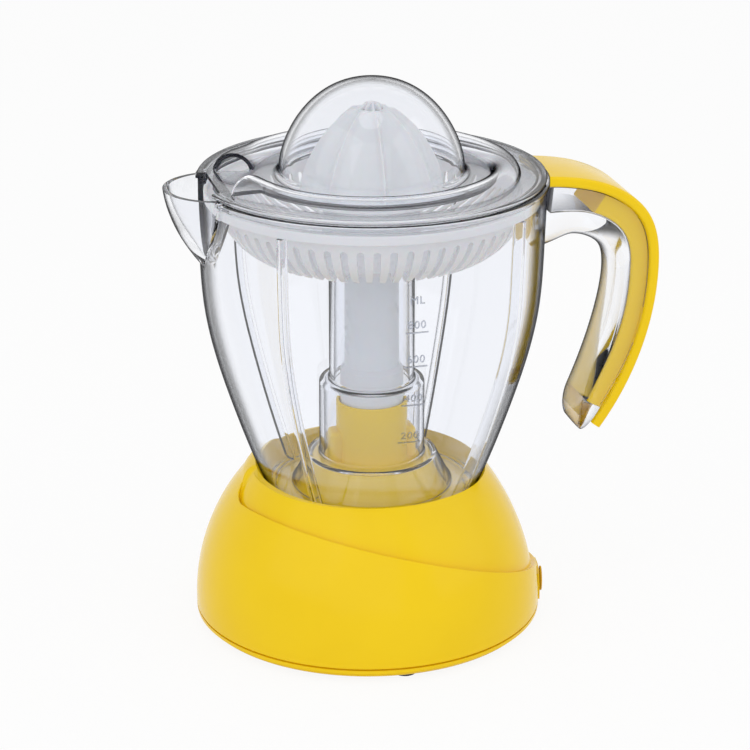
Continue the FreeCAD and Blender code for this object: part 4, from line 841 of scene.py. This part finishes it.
@dataclass
class Handle:
    """The open hooked handle: a clear grip with a slot in its back, under a yellow cover strip."""

    root: Point = (69.3, 197.9)
    shoulder: Point = (97.0, 193.5)
    belly: Point = (122.6, 152.5)
    end: Point = (98.0, 82.6)
    belly_bulge: float = 9.5
    tail_bulge: float = 5.5
    lean: float = 0.25
    first_rise: float = 0.75
    half_width: float = 18.0
    cover_wall: float = 4.5
    cover_round: float = 1.3
    cover_steps: int = 14
    seat: float = 0.2
    grip_half: float = 17.0
    grip_depths: Point = (32.5, 27.5, 24.0, 20.0, 13.8, 12.0, 5.2, 4.6)
    grip_flank: float = 9.3
    flank_share: float = 0.45
    grip_steps: int = 24
    grip_toe: float = 4.2
    line_steps: int = 16
    tip_reach: float = 12.0
    tip_width: float = 0.5
    tip_flat: float = 0.4
    tip_depth: float = 0.6
    core_start: float = 98.5
    core_low: float = 9.0
    core_depth: float = 3.2
    core_share: float = 0.27
    core_half: float = 14.3
    core_gap: float = 0.4
    core_proud: float = 1.2
    core_rounds: Point = (0.2, 1.2)
    jug_edge: float = 74.6
    jug_heights: Point = (60.0, 210.0)

    def line(self, inset: float) -> list[Point]:
        """The points that the outer line goes through, moved in by inset."""
        lean = self.lean * inset
        root = (self.root[0], self.root[1] - inset)
        shoulder = (self.shoulder[0] - lean, self.shoulder[1] - inset)
        belly = (self.belly[0] - inset, self.belly[1])
        end = (self.end[0] - inset, self.end[1] + lean)
        first = ((root[0] + shoulder[0]) / 2, shoulder[1] + (root[1] - shoulder[1]) * self.first_rise)
        upper = middle_of(belly, shoulder, self.belly_bulge - lean)
        lower = middle_of(end, belly, self.tail_bulge)
        return [root, first, shoulder, upper, belly, lower, end]

    @staticmethod
    def ways(places: Sequence[Point]) -> list[Vector]:
        """The way towards the fingers at each place of a line."""
        made = []
        for i in range(len(places)):
            low, high = places[max(i - 1, 0)], places[min(i + 1, len(places) - 1)]
            made.append(Vector((high[1] - low[1], 0, low[0] - high[0])).normalized())
        return made

    @staticmethod
    def ring(place: Point, way: Vector, outline: Sequence[Point]) -> list[Vector]:
        """A section on a place of the line from its widths and depths."""
        here = Vector((place[0], 0, place[1]))
        return [here + Vector((0, width, 0)) + way * depth for width, depth in outline]

    def stations(self) -> list[Point]:
        """Places along the grip's back: their x and z, then those of the finger side across from them."""
        line = self.line(self.cover_wall + self.seat)
        onward = (Vector(line[-1]) - Vector(line[-2])).normalized()
        line.append(tuple(Vector(line[-1]) + onward * self.grip_toe))
        return smooth([
            (*place, place[0] + way.x * depth, place[1] + way.z * depth)
            for place, way, depth in zip(line, self.ways(line), self.grip_depths)
        ], self.line_steps)

    def grip_form(self) -> Mesh:
        """The grip's form as a closed solid with a rounded finger side and tip."""
        stations = self.stations()
        left = [0.0]
        for here, there in zip(stations[::-1], stations[-2::-1]):
            left.append(left[-1] + math.dist(here[:2], there[:2]))
        turns = [math.pi * i / self.grip_steps for i in range(self.grip_steps + 1)]
        rings = []
        for (x, z, finger_x, finger_z), rest in zip(stations, reversed(left)):
            across = Vector((finger_x - x, 0, finger_z - z))
            short = 1 - min((rest + self.tip_flat) / self.tip_reach, 1.0)
            full = math.sqrt(1 - short * short)
            deep = max(across.length * full, self.tip_depth)
            wide = self.grip_half * (self.tip_width + (1 - self.tip_width) * full)
            flank = min(self.grip_flank, self.flank_share * deep)
            bow = [(wide * math.cos(turn), flank + (deep - flank) * math.sin(turn)) for turn in turns]
            rings.append(self.ring((x, z), across.normalized(), [(wide, 0), *bow, (-wide, 0)]))
        return Bench.loft("grip", rings)

    def filling(self, name: str, grow: float, first: float) -> Mesh:
        """The core's form along the grip's back.

        Args:
            name: The mesh's name.
            grow: How much wider and deeper it is made.
            first: Where along the top it starts.

        Returns:
            The closed mesh, which stands out of the grip's back.
        """
        low = self.end[1] + self.core_low - grow
        half = self.core_half + grow
        rings = []
        for x, z, finger_x, finger_z in self.stations():
            if z < low or x < first and z > self.belly[1]:
                continue
            across = Vector((finger_x - x, 0, finger_z - z))
            deep = self.core_depth + self.core_share * across.length + grow
            outline = slab(half, (-self.core_proud, deep), self.core_rounds, 4)
            rings.append(self.ring((x, z), across.normalized(), outline))
        return Bench.loft(name, rings)

    def grip(self) -> Mesh:
        """The grip with the slot for the core, open towards the cover."""
        slot = self.filling("slot", self.core_gap, self.jug_edge + self.seat)
        return Bench.join(self.grip_form(), slot, Join.CUT)

    def cover(self) -> Mesh:
        """The yellow cover with its core."""
        places = smooth(self.line(0.0), self.cover_steps)
        outline = slab(self.half_width, (0, self.cover_wall), (self.cover_round, self.cover_round), 5)
        rings = [self.ring(place, way, outline) for place, way in zip(places, self.ways(places))]
        band = Bench.loft("grip_cover", rings)
        room = Bench.lathe("room", column(self.jug_edge + self.seat, *self.jug_heights), False)
        Bench.join(band, room, Join.CUT)
        core = self.filling("core", 0.0, self.core_start)
        return Bench.join(band, core, Join.ADD)


@dataclass
class Jug:
    """The clear jug: a flared wall with a beak spout, a stepped centre column, ribs and the grip."""

    foot: Point = (44.6, 58.7)
    shoulder: Point = (71.3, 143.7)
    rim: Point = (73.7, 198.5)
    wall_bulge: float = 2.6
    neck_bulge: float = 0.4
    wall: float = 2.2
    lip: float = 0.9
    lip_height: float = 2.2
    outline_gap: Point = (0.5, 4.0)
    foot_ring: float = 2.1
    foot_ring_depth: float = 1.8
    hump: Point = (34.7, 27.6)
    hump_top: float = 76.2
    column_lower: float = 22.7
    column_step: float = 109.5
    column_upper: float = 18.3
    column_wall: float = 2.0
    column_top: float = 181.7
    rib_width: float = 2.6
    rib_depth: float = 4.5
    rib_round: float = 0.9
    rib_top: float = 189.9
    rib_steps: int = 32
    rib_turns: Point = (45, 135, 225, 315)
    inside_rise: float = 10.0
    spout_reach: float = 88.5
    spout_half: float = 23.0
    spout_depth: float = 34.5
    spout_start: float = 0.8
    spout_belly: float = 0.75
    spout_levels: int = 14
    spout_steps: int = 28
    spout_rear: int = 8
    spout_lift: float = 3.0

    def __post_init__(self) -> None:
        """Sets the floor's heights and draws the wall's outer line."""
        self.under = self.foot[1] + self.foot_ring_depth
        self.floor = self.under + self.wall
        low = middle_of(self.foot, self.shoulder, self.wall_bulge)
        high = middle_of(self.shoulder, self.rim, self.neck_bulge)
        self.side = smooth([self.foot, low, self.shoulder, high, self.rim], 14)

    def radius_at(self, height: float) -> float:
        """The wall's outer radius at a height."""
        if height <= self.foot[1]:
            return self.foot[0]
        for (r0, z0), (r1, z1) in zip(self.side, self.side[1:]):
            if height <= z1:
                return r0 + (r1 - r0) * (height - z0) / (z1 - z0)
        return self.rim[0]

    def outline(self) -> list[Point]:
        """The section of the wall, floor and column, round the outside and back down the inside."""
        floor, under = self.floor, self.under
        lip, lip_low = self.rim[0] + self.lip, self.rim[1] - self.lip_height
        outside = [p for p in self.side[1:] if p[1] < lip_low - self.outline_gap[0]]
        inside = [(r - self.wall, z) for r, z in self.side[-2::-1] if z > floor + self.outline_gap[1]]
        foot_in = self.foot[0] - self.foot_ring
        step_in = self.column_lower - self.column_wall
        tube = self.column_upper - self.column_wall
        return rounded([
            (*self.foot, 0.8),
            *outside,
            (self.radius_at(lip_low), lip_low),
            (lip, lip_low, 0.6),
            (lip, self.rim[1], 0.9),
            (self.rim[0] - self.wall, self.rim[1], 0.8),
            *inside,
            (self.radius_at(floor) - self.wall, floor, 3.0),
            (self.hump[0], floor, 1.5),
            (self.hump[1], self.hump_top, 1.5),
            (self.column_lower, self.hump_top, 1.0),
            (self.column_lower, self.column_step, 2.0),
            (self.column_upper, self.column_step, 1.2),
            (self.column_upper, self.column_top, 0.7),
            (tube, self.column_top, 0.7),
            (tube, self.column_step - self.column_wall, 0.6),
            (step_in, self.column_step - self.column_wall, 0.8),
            (step_in, self.hump_top - self.wall, 1.0),
            (self.hump[1] - self.wall / 2, self.hump_top - self.wall, 0.8),
            (self.hump[0] - self.wall, under, 0.8),
            (foot_in, under, 0.6),
            (foot_in, self.foot[1], 0.5),
        ])

    def beak(self, name: str, inset: float, lift: float) -> Mesh:
        """The spout's form moved in by inset, with its top lifted past the rim."""
        levels = [(i / (self.spout_levels - 1), 0.0) for i in range(self.spout_levels)]
        if lift:
            levels.append((1.0, lift))
        low = self.rim[1] - self.spout_depth + 2 * inset
        start = self.shoulder[0] + self.spout_start
        rings = []
        for share, raised in levels:
            height = low + share * (self.spout_depth - 2 * inset) + raised
            full = share * (1 + self.spout_belly * (1 - share))
            nose = start + (self.spout_reach - start) * full - inset
            half = max(self.spout_start, self.spout_half * full - inset)
            back = math.sqrt((self.shoulder[0] - self.wall) ** 2 - half**2) - self.wall
            front = [(back, -half)] + arc((back, -half), (back, half), nose - back, self.spout_steps)
            rear = [(back, half * (1 - 2 * j / self.spout_rear)) for j in range(1, self.spout_rear)]
            rings.append([Vector((-x, y, height)) for x, y in front + rear])
        return Bench.loft(name, rings)

    def inside(self) -> Mesh:
        """The jug's inner form, filled and taller than the rim."""
        side = [(r - self.wall, z) for r, z in self.side if z > self.floor]
        top = self.rim[1] + self.inside_rise
        return Bench.lathe("inside", [(0, self.floor), *side, (side[-1][0], top), (0, top)], False)

    def rib(self) -> Mesh:
        """One upright rib on the inside of the wall, towards +X."""
        rings = []
        low, half = self.under + self.wall / 2, self.rib_width / 2
        for i in range(self.rib_steps + 1):
            height = low + (self.rib_top - low) * i / self.rib_steps
            out = self.radius_at(height) - self.wall / 2
            deep = self.radius_at(height) - self.wall - self.rib_depth
            inner = [(deep, half, self.rib_round), (deep, -half, self.rib_round)]
            outline = rounded([(out, -half), (out, half), *inner], 4)
            rings.append([Vector((x, y, height)) for x, y in outline])
        return Bench.loft("rib", rings)

    def build(self, handle: Handle) -> Mesh:
        """Models the jug with its grip.

        Args:
            handle: The handle whose grip is part of the jug.

        Returns:
            The mesh.
        """
        body = Bench.lathe("clear_jug", self.outline())
        Bench.join(body, self.beak("beak", 0.0, 0.0), Join.ADD)
        Bench.join(body, self.beak("channel", self.wall, self.spout_lift), Join.CUT)
        grip = handle.grip()
        Bench.join(grip, self.inside(), Join.CUT)
        Bench.join(body, grip, Join.ADD)
        rib = self.rib()
        for copy in Bench.copies(rib, self.rib_turns):
            Bench.join(body, copy, Join.ADD)
        bpy.data.objects.remove(rib, do_unlink=True)
        return body


@dataclass
class Scale:
    """The plain volume marks that stand out of the jug's front."""

    azimuth: float = -89.5
    size: float = 4.7
    spacing: float = 1.12
    proud: float = 0.4
    sunk: float = 0.06
    bar_half: float = 4.8
    bar_height: float = 0.5
    bar_cuts: int = 6
    gap: float = 1.8

    def word(self, text: str, height: float) -> Mesh:
        """A word with its foot at a height, flat and upright on the sheet that is wrapped later."""
        Bench.clear()
        bpy.ops.object.text_add()
        curve = bpy.context.object.data
        curve.body = text
        curve.size = self.size
        curve.space_character = self.spacing
        curve.align_x = "CENTER"
        curve.extrude = self.proud / 2
        bpy.ops.object.convert(target="MESH")
        made = bpy.context.object
        made.data.transform(Matrix.Translation((0, height, 0)))
        return made

    def bar(self, height: float) -> Mesh:
        """The line below a number."""
        low = (-self.bar_half, height - self.bar_height / 2, -self.proud / 2)
        high = (self.bar_half, height + self.bar_height / 2, self.proud / 2)
        made = Bench.block("bar", low, high)
        Bench.pick(made)
        bpy.ops.object.mode_set(mode="EDIT")
        bpy.ops.mesh.select_all(action="SELECT")
        bpy.ops.mesh.subdivide(number_cuts=self.bar_cuts)
        bpy.ops.object.mode_set(mode="OBJECT")
        return made

    def build(self, jug: Jug, marks: Sequence[tuple[str, float]], unit: tuple[str, float]) -> Mesh:
        """Models the marks as raised plastic wrapped on the jug.

        Args:
            jug: The jug that carries them.
            marks: Each number and the height of its line.
            unit: The unit's letters and the height of the line that they would have.

        Returns:
            The mesh.
        """
        made = [self.bar(height) for _, height in marks]
        made += [self.word(text, height + self.gap) for text, height in (*marks, unit)]
        scale = Bench.gather("volume_scale", made)
        for vert in scale.data.vertices:
            across, height, out = vert.co
            radius = jug.radius_at(height)
            angle = math.radians(self.azimuth) + across / radius
            reach = radius + out + self.proud / 2 - self.sunk
            vert.co = (reach * math.cos(angle), reach * math.sin(angle), height)
        return scale


@dataclass
class Basket:
    """The white slotted strainer that hangs on the jug's ribs."""

    edge: float = 70.6
    seat: float = 190.1
    wall: float = 1.8
    band: float = 4.0
    band_wall: float = 1.6
    bowl: float = 65.5
    floor: float = 49.0
    depth: float = 22.4
    bulge: float = 3.5
    floor_rise: float = 5.0
    hub_drop: float = 3.0
    sleeve_bore: float = 18.8
    shaft_hole: float = 12.8
    slots: int = 60
    slot_width: float = 3.0
    slot_drop: float = 4.5
    slot_inner: float = 44.0
    slot_past: float = 5.0
    slot_round: float = 0.999
    sides: int = 240
    side_steps: int = 14

    def build(self) -> Mesh:
        """Models the strainer.

        Returns:
            The mesh.
        """
        low = self.seat - self.depth
        hub = self.seat - self.hub_drop
        sleeve = self.sleeve_bore + self.wall
        inner_floor = low + self.floor_rise
        bowl_in = (self.bowl - self.wall, self.seat + self.wall)
        floor_in = (self.floor - self.wall / 2, low + self.wall)
        down = arc(floor_in, bowl_in, self.bulge, self.side_steps)
        up = arc((self.floor, low), (self.bowl, self.seat), self.bulge, self.side_steps)
        outline = rounded([
            (self.edge, self.seat, 0.5),
            (self.edge, self.seat + self.band, 0.6),
            (self.edge - self.band_wall, self.seat + self.band, 0.6),
            (self.edge - self.band_wall, self.seat + self.wall, 0.8),
            *reversed(down),
            (*floor_in, 1.5),
            (sleeve, inner_floor + self.wall, 1.2),
            (sleeve, hub, 0.8),
            (self.shaft_hole, hub, 0.5),
            (self.shaft_hole, hub - self.wall, 0.5),
            (self.sleeve_bore, hub - self.wall),
            (self.sleeve_bore, inner_floor),
            (sleeve, inner_floor, 0.4),
            (self.floor, low, 1.5),
            *up[:-1],
            (self.bowl, self.seat, 0.8),
        ])
        body = Bench.lathe("slotted_basket", outline, True, 0.0, self.sides)
        half = self.slot_width / 2
        start, bow = low - self.slot_past, self.seat - self.slot_drop - half
        section = [(-half, start), (half, start), (half, bow)]
        section += arc((half, bow), (-half, bow), half * self.slot_round, 8)
        ends = (self.slot_inner, self.edge)
        slot = Bench.loft("slot", [[Vector((x, *point)) for point in section] for x in ends])
        cutters = Bench.copies(slot, [360.0 * i / self.slots for i in range(self.slots)])
        bpy.data.objects.remove(slot, do_unlink=True)
        return Bench.join(body, Bench.gather("slots", cutters), Join.CUT)


@dataclass
class Cones:
    """The large ribbed cone and the small one whose tip stands out of it."""

    foot: float = 190.1
    radius: float = 30.8
    height: float = 37.0
    top: float = 8.8
    bulge: float = 4.2
    rim: float = 2.4
    wall: float = 2.4
    ribs: int = 8
    rib_turn: float = -3.5
    rib_rise: float = 2.0
    rib_half: float = 1.0
    rib_sink: float = 0.5
    rib_rows: int = 4
    hollow: float = 2.4
    foot_bevel: float = 0.5
    crest: Point = (1.0, 0.3, 0.6)
    columns: Point = (256, 128)
    small_radius: float = 24.0
    small_tip: float = 39.9
    nub: float = 4.4
    nub_rise: float = 0.4
    gap: float = 0.4
    socket: float = 11.9
    socket_top: float = 203.3

    def ribbed(self, radius: float, angle: float, share: float) -> float:
        """A cone's radius with ribs and hollow panels between them.

        Args:
            radius: The plain cone's radius there.
            angle: The place round the axis.
            share: How much of the ribbing there is, from 0 to 1.

        Returns:
            The radius.
        """
        pitch = 2 * math.pi / self.ribs
        off = abs((angle - math.radians(self.rib_turn) + pitch / 2) % pitch - pitch / 2)
        half = pitch / 2
        chord = radius * math.cos(half) / math.cos(half - off)
        bowl = self.hollow * math.sin(math.pi * off / pitch) * radius / self.radius
        ridge = self.rib_rise * math.exp(-((off * radius / self.rib_half) ** 2))
        panel = chord - bowl - self.rib_rise * self.rib_sink + ridge
        return radius + (panel - radius) * share

    def turned(self, name: str, outline: Sequence[Point], columns: int) -> Mesh:
        """A ribbed cone from radius, height and share of ribbing along its side."""
        body = Bench.grid(name, columns, len(outline) - 1)

        def place(x: float, y: float) -> Vector:
            """A point of the ribbed side."""
            radius, height, share = outline[round(y * (len(outline) - 1))]
            angle = 2 * math.pi * x
            reach = self.ribbed(radius, angle, share)
            return Vector((reach * math.cos(angle), reach * math.sin(angle), height))

        Bench.shape(body, place)
        return body

    def small_outline(self, grow: float) -> list[Point]:
        """The small cone's side moved out by grow, with its share of ribbing."""
        shoulder = self.foot + self.height - self.wall - self.gap
        foot = (self.small_radius + grow, self.foot)
        knee = (self.nub + self.wall + grow, shoulder + grow)
        nub = (self.nub + grow, shoulder + grow + self.nub_rise)
        point = (self.nub / 3 + grow, self.foot + self.small_tip + grow)
        side = [foot] + arc(foot, knee, self.bulge / 2, 16)
        tip = arc(nub, point, self.nub / 4, 8)
        share = 0.0 if grow else 1.0
        return [(*p, 0.0) for p in side] + [(*nub, share)] + [(*p, share) for p in tip]

    def large(self) -> Mesh:
        """The large cone, open at its top."""
        low = (self.radius, self.foot + self.rim)
        high = (self.top, self.foot + self.height)
        side = [low] + arc(low, high, self.bulge, 28)
        bevel, (inset, rise, share) = self.foot_bevel, self.crest
        outline = [(self.radius - bevel, self.foot, 0), (self.radius, self.foot + bevel, 0), (*low, 0)]
        outline += [(r, z, ease((i + 1) / self.rib_rows)) for i, (r, z) in enumerate(side[1:])]
        outline.append((self.top - inset, high[1] + rise, share))
        body = self.turned("ribbed_cone", outline, self.columns[0])
        room = [(0, self.foot - PAST), (self.small_radius + self.gap, self.foot - PAST)]
        room += [p[:2] for p in self.small_outline(self.gap)]
        room.append((0, room[-1][1]))
        return Bench.join(body, Bench.lathe("room", room, False), Join.CUT)

    def small(self) -> Mesh:
        """The small cone with its socket for the drive shaft."""
        body = self.turned("cone_tip", self.small_outline(0.0), self.columns[1])
        socket = Bench.rod("socket", self.socket, (0, 0, self.foot - PAST), (0, 0, self.socket_top))
        return Bench.join(body, socket, Join.CUT)


@dataclass
class Lid:
    """The clear dust cover: brim, dome and a raised bead that is open over the spout."""

    rim: float = 198.5
    rest: float = 198.7
    wall: float = 1.7
    brim: float = 73.4
    skirt: float = 71.0
    skirt_depth: float = 3.0
    dome: float = 39.5
    dome_rise: float = 42.0
    dome_taper: Point = (1.7, 2.2)
    dome_fillet: float = 3.0
    dome_clear: float = 2.2
    dome_steps: int = 40
    bead: Point = (49.5, 62.5)
    bead_rise: float = 6.4
    bead_steps: int = 150
    crest_steps: int = 20
    bead_past: float = 2.0
    gap_half: float = 17.0
    flare: float = 4.5
    flare_rise: float = 1.6
    flare_turn: float = 24.0
    notch_half: float = 13.0
    notch_edge: float = 67.5
    notch_reach: float = 90.0
    notch_drop: float = 20.0
    notch_past: float = 0.01

    def dome_side(self, inset: float, foot: float) -> list[Point]:
        """The dome's side from above a foot height to its top, moved in by inset."""
        low, top = foot + self.dome_clear * self.dome_fillet, self.rim + self.dome_rise - inset
        made = []
        for i in range(self.dome_steps + 1):
            rise = math.sin(i / self.dome_steps * math.pi / 2)
            reach = max(1 - rise**self.dome_taper[0], 0.0) ** (1 / self.dome_taper[1])
            made.append(((self.dome - inset) * reach, foot + (top - foot) * rise))
        return [point for point in made if point[1] > low]

    def bead_form(self, inset: float, foot: float, past: float) -> Mesh:
        """The raised bead's form, round from one side of the spout to the other.

        Args:
            inset: How far its sides and top are moved in.
            foot: The height that it starts from.
            past: How many degrees it runs past its ends.

        Returns:
            The closed mesh.
        """
        rings = []
        base = self.rest + self.wall / 2
        first = self.gap_half - past
        for i in range(self.bead_steps + 1):
            turn = first + (360 - 2 * first) * i / self.bead_steps
            flare = ease(1 - (min(turn, 360 - turn) - self.gap_half) / self.flare_turn)
            inner = (self.bead[0] + inset, base)
            outer = (self.bead[1] + self.flare * flare - inset, base)
            rise = self.bead_rise + self.flare_rise * flare - inset
            crest = arc(outer, inner, rise, self.crest_steps)
            angle = math.radians(180 + turn)
            way = Vector((math.cos(angle), math.sin(angle), 0))
            outline = [(outer[0], foot), outer, *crest, (inner[0], foot)]
            rings.append([way * radius + Vector((0, 0, height)) for radius, height in outline])
        return Bench.loft("bead", rings)

    def build(self) -> Mesh:
        """Models the lid.

        Returns:
            The mesh.
        """
        top = self.rest + self.wall
        inner_foot = (self.dome - self.wall, self.rest)
        plate = rounded([
            *self.dome_side(self.wall, self.rest)[::-1],
            (*inner_foot, self.dome_fillet),
            (self.skirt - self.wall, self.rest, 0.5),
            (self.skirt - self.wall, self.rim - self.skirt_depth, 0.4),
            (self.skirt, self.rim - self.skirt_depth, 0.4),
            (self.skirt, self.rest, 0.2),
            (self.brim, self.rest, 0.6),
            (self.brim, top, 0.8),
            (self.dome, top, self.dome_fillet),
            *self.dome_side(0.0, top),
        ])
        body = Bench.lathe("domed_lid", plate, False)
        Bench.join(body, self.bead_form(0.0, self.rest + self.wall / 4, 0.0), Join.ADD)
        Bench.join(body, self.bead_form(self.wall, self.rest - PAST, self.bead_past), Join.CUT)
        edge, far, slope = self.notch_edge, self.notch_reach, math.tan(math.radians(self.notch_half))
        notch = Bench.loft("notch", [
            [Vector((-x, side * x * slope, z)) for x, side in ((edge, -1), (far, -1), (far, 1), (edge, 1))]
            for z in (self.rim - self.notch_drop, top + self.notch_past)
        ])
        return Bench.join(body, notch, Join.CUT)


@dataclass(frozen=True)
class Lamp:
    """A soft lamp: where it stands from the object's middle, its width in metres, its watts and its form."""

    name: str
    place: Point
    size: float
    power: float
    form: str = "SQUARE"

    def hang(self, aim: Vector) -> None:
        """Hangs the lamp so that it faces the place it is aimed at."""
        Bench.clear()
        bpy.ops.object.light_add(type="AREA", location=aim + Vector(self.place))
        lamp = bpy.context.object
        lamp.name = "lamp_" + self.name
        lamp.data.shape = self.form
        lamp.data.size = self.size
        lamp.data.energy = self.power
        lamp.rotation_euler = (-Vector(self.place)).to_track_quat("-Z", "Y").to_euler()


LAMPS = (
    Lamp("left", (-1.2, -0.6, 0.8), 1.4, 3.5),
    Lamp("front", (-0.42, -1.55, 0.75), 1.6, 3.5),
    Lamp("right", (1.1, -0.7, 0.7), 1.4, 3.2),
    Lamp("top", (-0.1, -0.3, 1.3), 0.6, 1.0, "DISK"),
)


@dataclass
class Studio:
    """The pale floor, the soft lights and the camera of the picture."""

    focal_px: float = 2731.0
    picture_px: float = 750.0
    sensor: float = 36.0
    azimuth: float = 14.0
    pitch: float = 20.35
    distance: float = 1.101
    height: float = 0.518
    shift_x: float = 0.00433
    floor_size: float = 6.0
    floor_white: float = 0.9
    floor_scale: float = 8.0
    floor_greys: Point = (0.90, 0.94)
    sky: float = 0.70
    aim_height: float = 0.12

    def build(self) -> None:
        """Sets up the whole studio."""
        self.set_world()
        self.lay_floor()
        for lamp in LAMPS:
            lamp.hang(Vector((AXIS_X, 0, self.aim_height)))
        self.stand_camera()
        bpy.context.scene.view_settings.view_transform = "Standard"

    @staticmethod
    def shows(board: Board) -> Socket:
        """1 for rays that show the background: from the camera, by a gloss or through clear plastic."""
        return board.most(board.add("LightPath"), "Is Camera Ray", "Is Glossy Ray", "Is Transmission Ray")

    def set_world(self) -> None:
        """A white surround that lights the object more softly than it looks."""
        world = bpy.data.worlds.new("surround")
        bpy.context.scene.world = world
        board = Board(world)
        strength = board.add("MapRange", Value=self.shows(board), _3=self.sky, _4=1.0).outputs["Result"]
        light = board.add("Background", Color=WHITE_RGBA, Strength=strength).outputs["Background"]
        board.add("OutputWorld", Surface=light)

    def lay_floor(self) -> None:
        """A pale floor that keeps the object's shadow."""
        Bench.clear()
        bpy.ops.mesh.primitive_plane_add(size=self.floor_size)
        floor = Bench.started("floor")
        bpy.ops.object.mode_set(mode="OBJECT")
        board = Board(bpy.data.materials.new("pale_floor"))
        low, high = ((grey, grey, grey) for grey in self.floor_greys)
        matt = board.add("BsdfDiffuse", Color=board.tint(board.noise(self.floor_scale), low, high))
        white = board.add("Emission", Color=WHITE_RGBA, Strength=1.0)
        share = board.add("Math", {"operation": "MULTIPLY"}, _0=self.shows(board), _1=self.floor_white)
        surface = board.mixed(share.outputs["Value"], matt.outputs["BSDF"], white.outputs["Emission"])
        floor.data.materials.append(board.done(surface))

    def stand_camera(self) -> None:
        """The camera at the picture's viewing angle."""
        turn = math.radians(self.azimuth)
        side, back = math.sin(turn) * self.distance, math.cos(turn) * self.distance
        Bench.clear()
        bpy.ops.object.camera_add(location=(AXIS_X - side, -back, self.height))
        camera = bpy.context.object
        camera.name = "camera"
        camera.rotation_euler = (math.radians(90 - self.pitch), 0, -turn)
        camera.data.lens = self.focal_px / self.picture_px * self.sensor
        camera.data.sensor_width = self.sensor
        camera.data.shift_x = self.shift_x
        bpy.context.scene.camera = camera


SCALE_MARKS = (("200", 102.2), ("400", 120.5), ("600", 138.6), ("800", 153.7))
SCALE_UNIT = ("ML", 164.2)


def dress_works(finishing: Finishing) -> None:
    """Gives the inner works, and the small outer pieces that keep their solids, their finishes.

    Args:
        finishing: What makes and holds the materials.
    """
    finishing.dress(YELLOW, "bottom_cover", "inlet_plate")
    finishing.dress(WHITE, "drive_shaft")
    finishing.dress(RUBBER, "rubber_feet")
    finishing.dress(YELLOW_RUBBER, "inlet_grommet")
    finishing.dress(DARK, "switch_body", "coil_bobbin", "switch_plunger", "thrust_plate")
    finishing.dress(NYLON, "idler_gear", "output_gear")
    finishing.dress(STEEL, "gear_plate", "drive_spindle", "drive_dog", "spindle_collar", "idler_axle",
                    "rotor_shaft", "lower_bearing_bracket", "upper_bearing_bracket", "return_spring")
    finishing.dress(ZINC, "cover_screws", "plate_screws", "motor_studs")
    finishing.dress(LAMINATED, "stator_core", "rotor_core")
    finishing.dress(BRONZE, "spindle_bush")
    finishing.dress(COPPER, "coil_winding")


def main() -> None:
    """Builds the sub-assemblies in order and sets them in the frame."""
    logging.basicConfig(level=logging.INFO, format="%(name)s: %(message)s")
    finishing = Finishing()
    jug, handle, cones = Jug(), Handle(), Cones()
    Studio().build()
    finishing.place(Housing().build(jug), "base", "yellow_plastic", YELLOW, ["base_housing"])
    finishing.place(jug.build(handle), "jug", "clear_plastic", CLEAR, ["jug"])
    finishing.place(handle.cover(), "jug", "yellow_plastic", YELLOW, ["handle_cover"])
    finishing.place(Scale().build(jug, SCALE_MARKS, SCALE_UNIT), "jug", "clear_plastic", PRINT, [])
    finishing.place(Basket().build(), "strainer", "white_plastic", WHITE, ["strainer"])
    finishing.place(cones.large(), "reamer", "white_plastic", WHITE, ["reamer_large"])
    finishing.place(cones.small(), "reamer", "white_plastic", WHITE, ["reamer_small"])
    finishing.place(Lid().build(), "lid", "clear_plastic", CLEAR, ["dust_cover"])
    dress_works(finishing)
    Bench.clear()


if __name__ == "__main__":
    main()
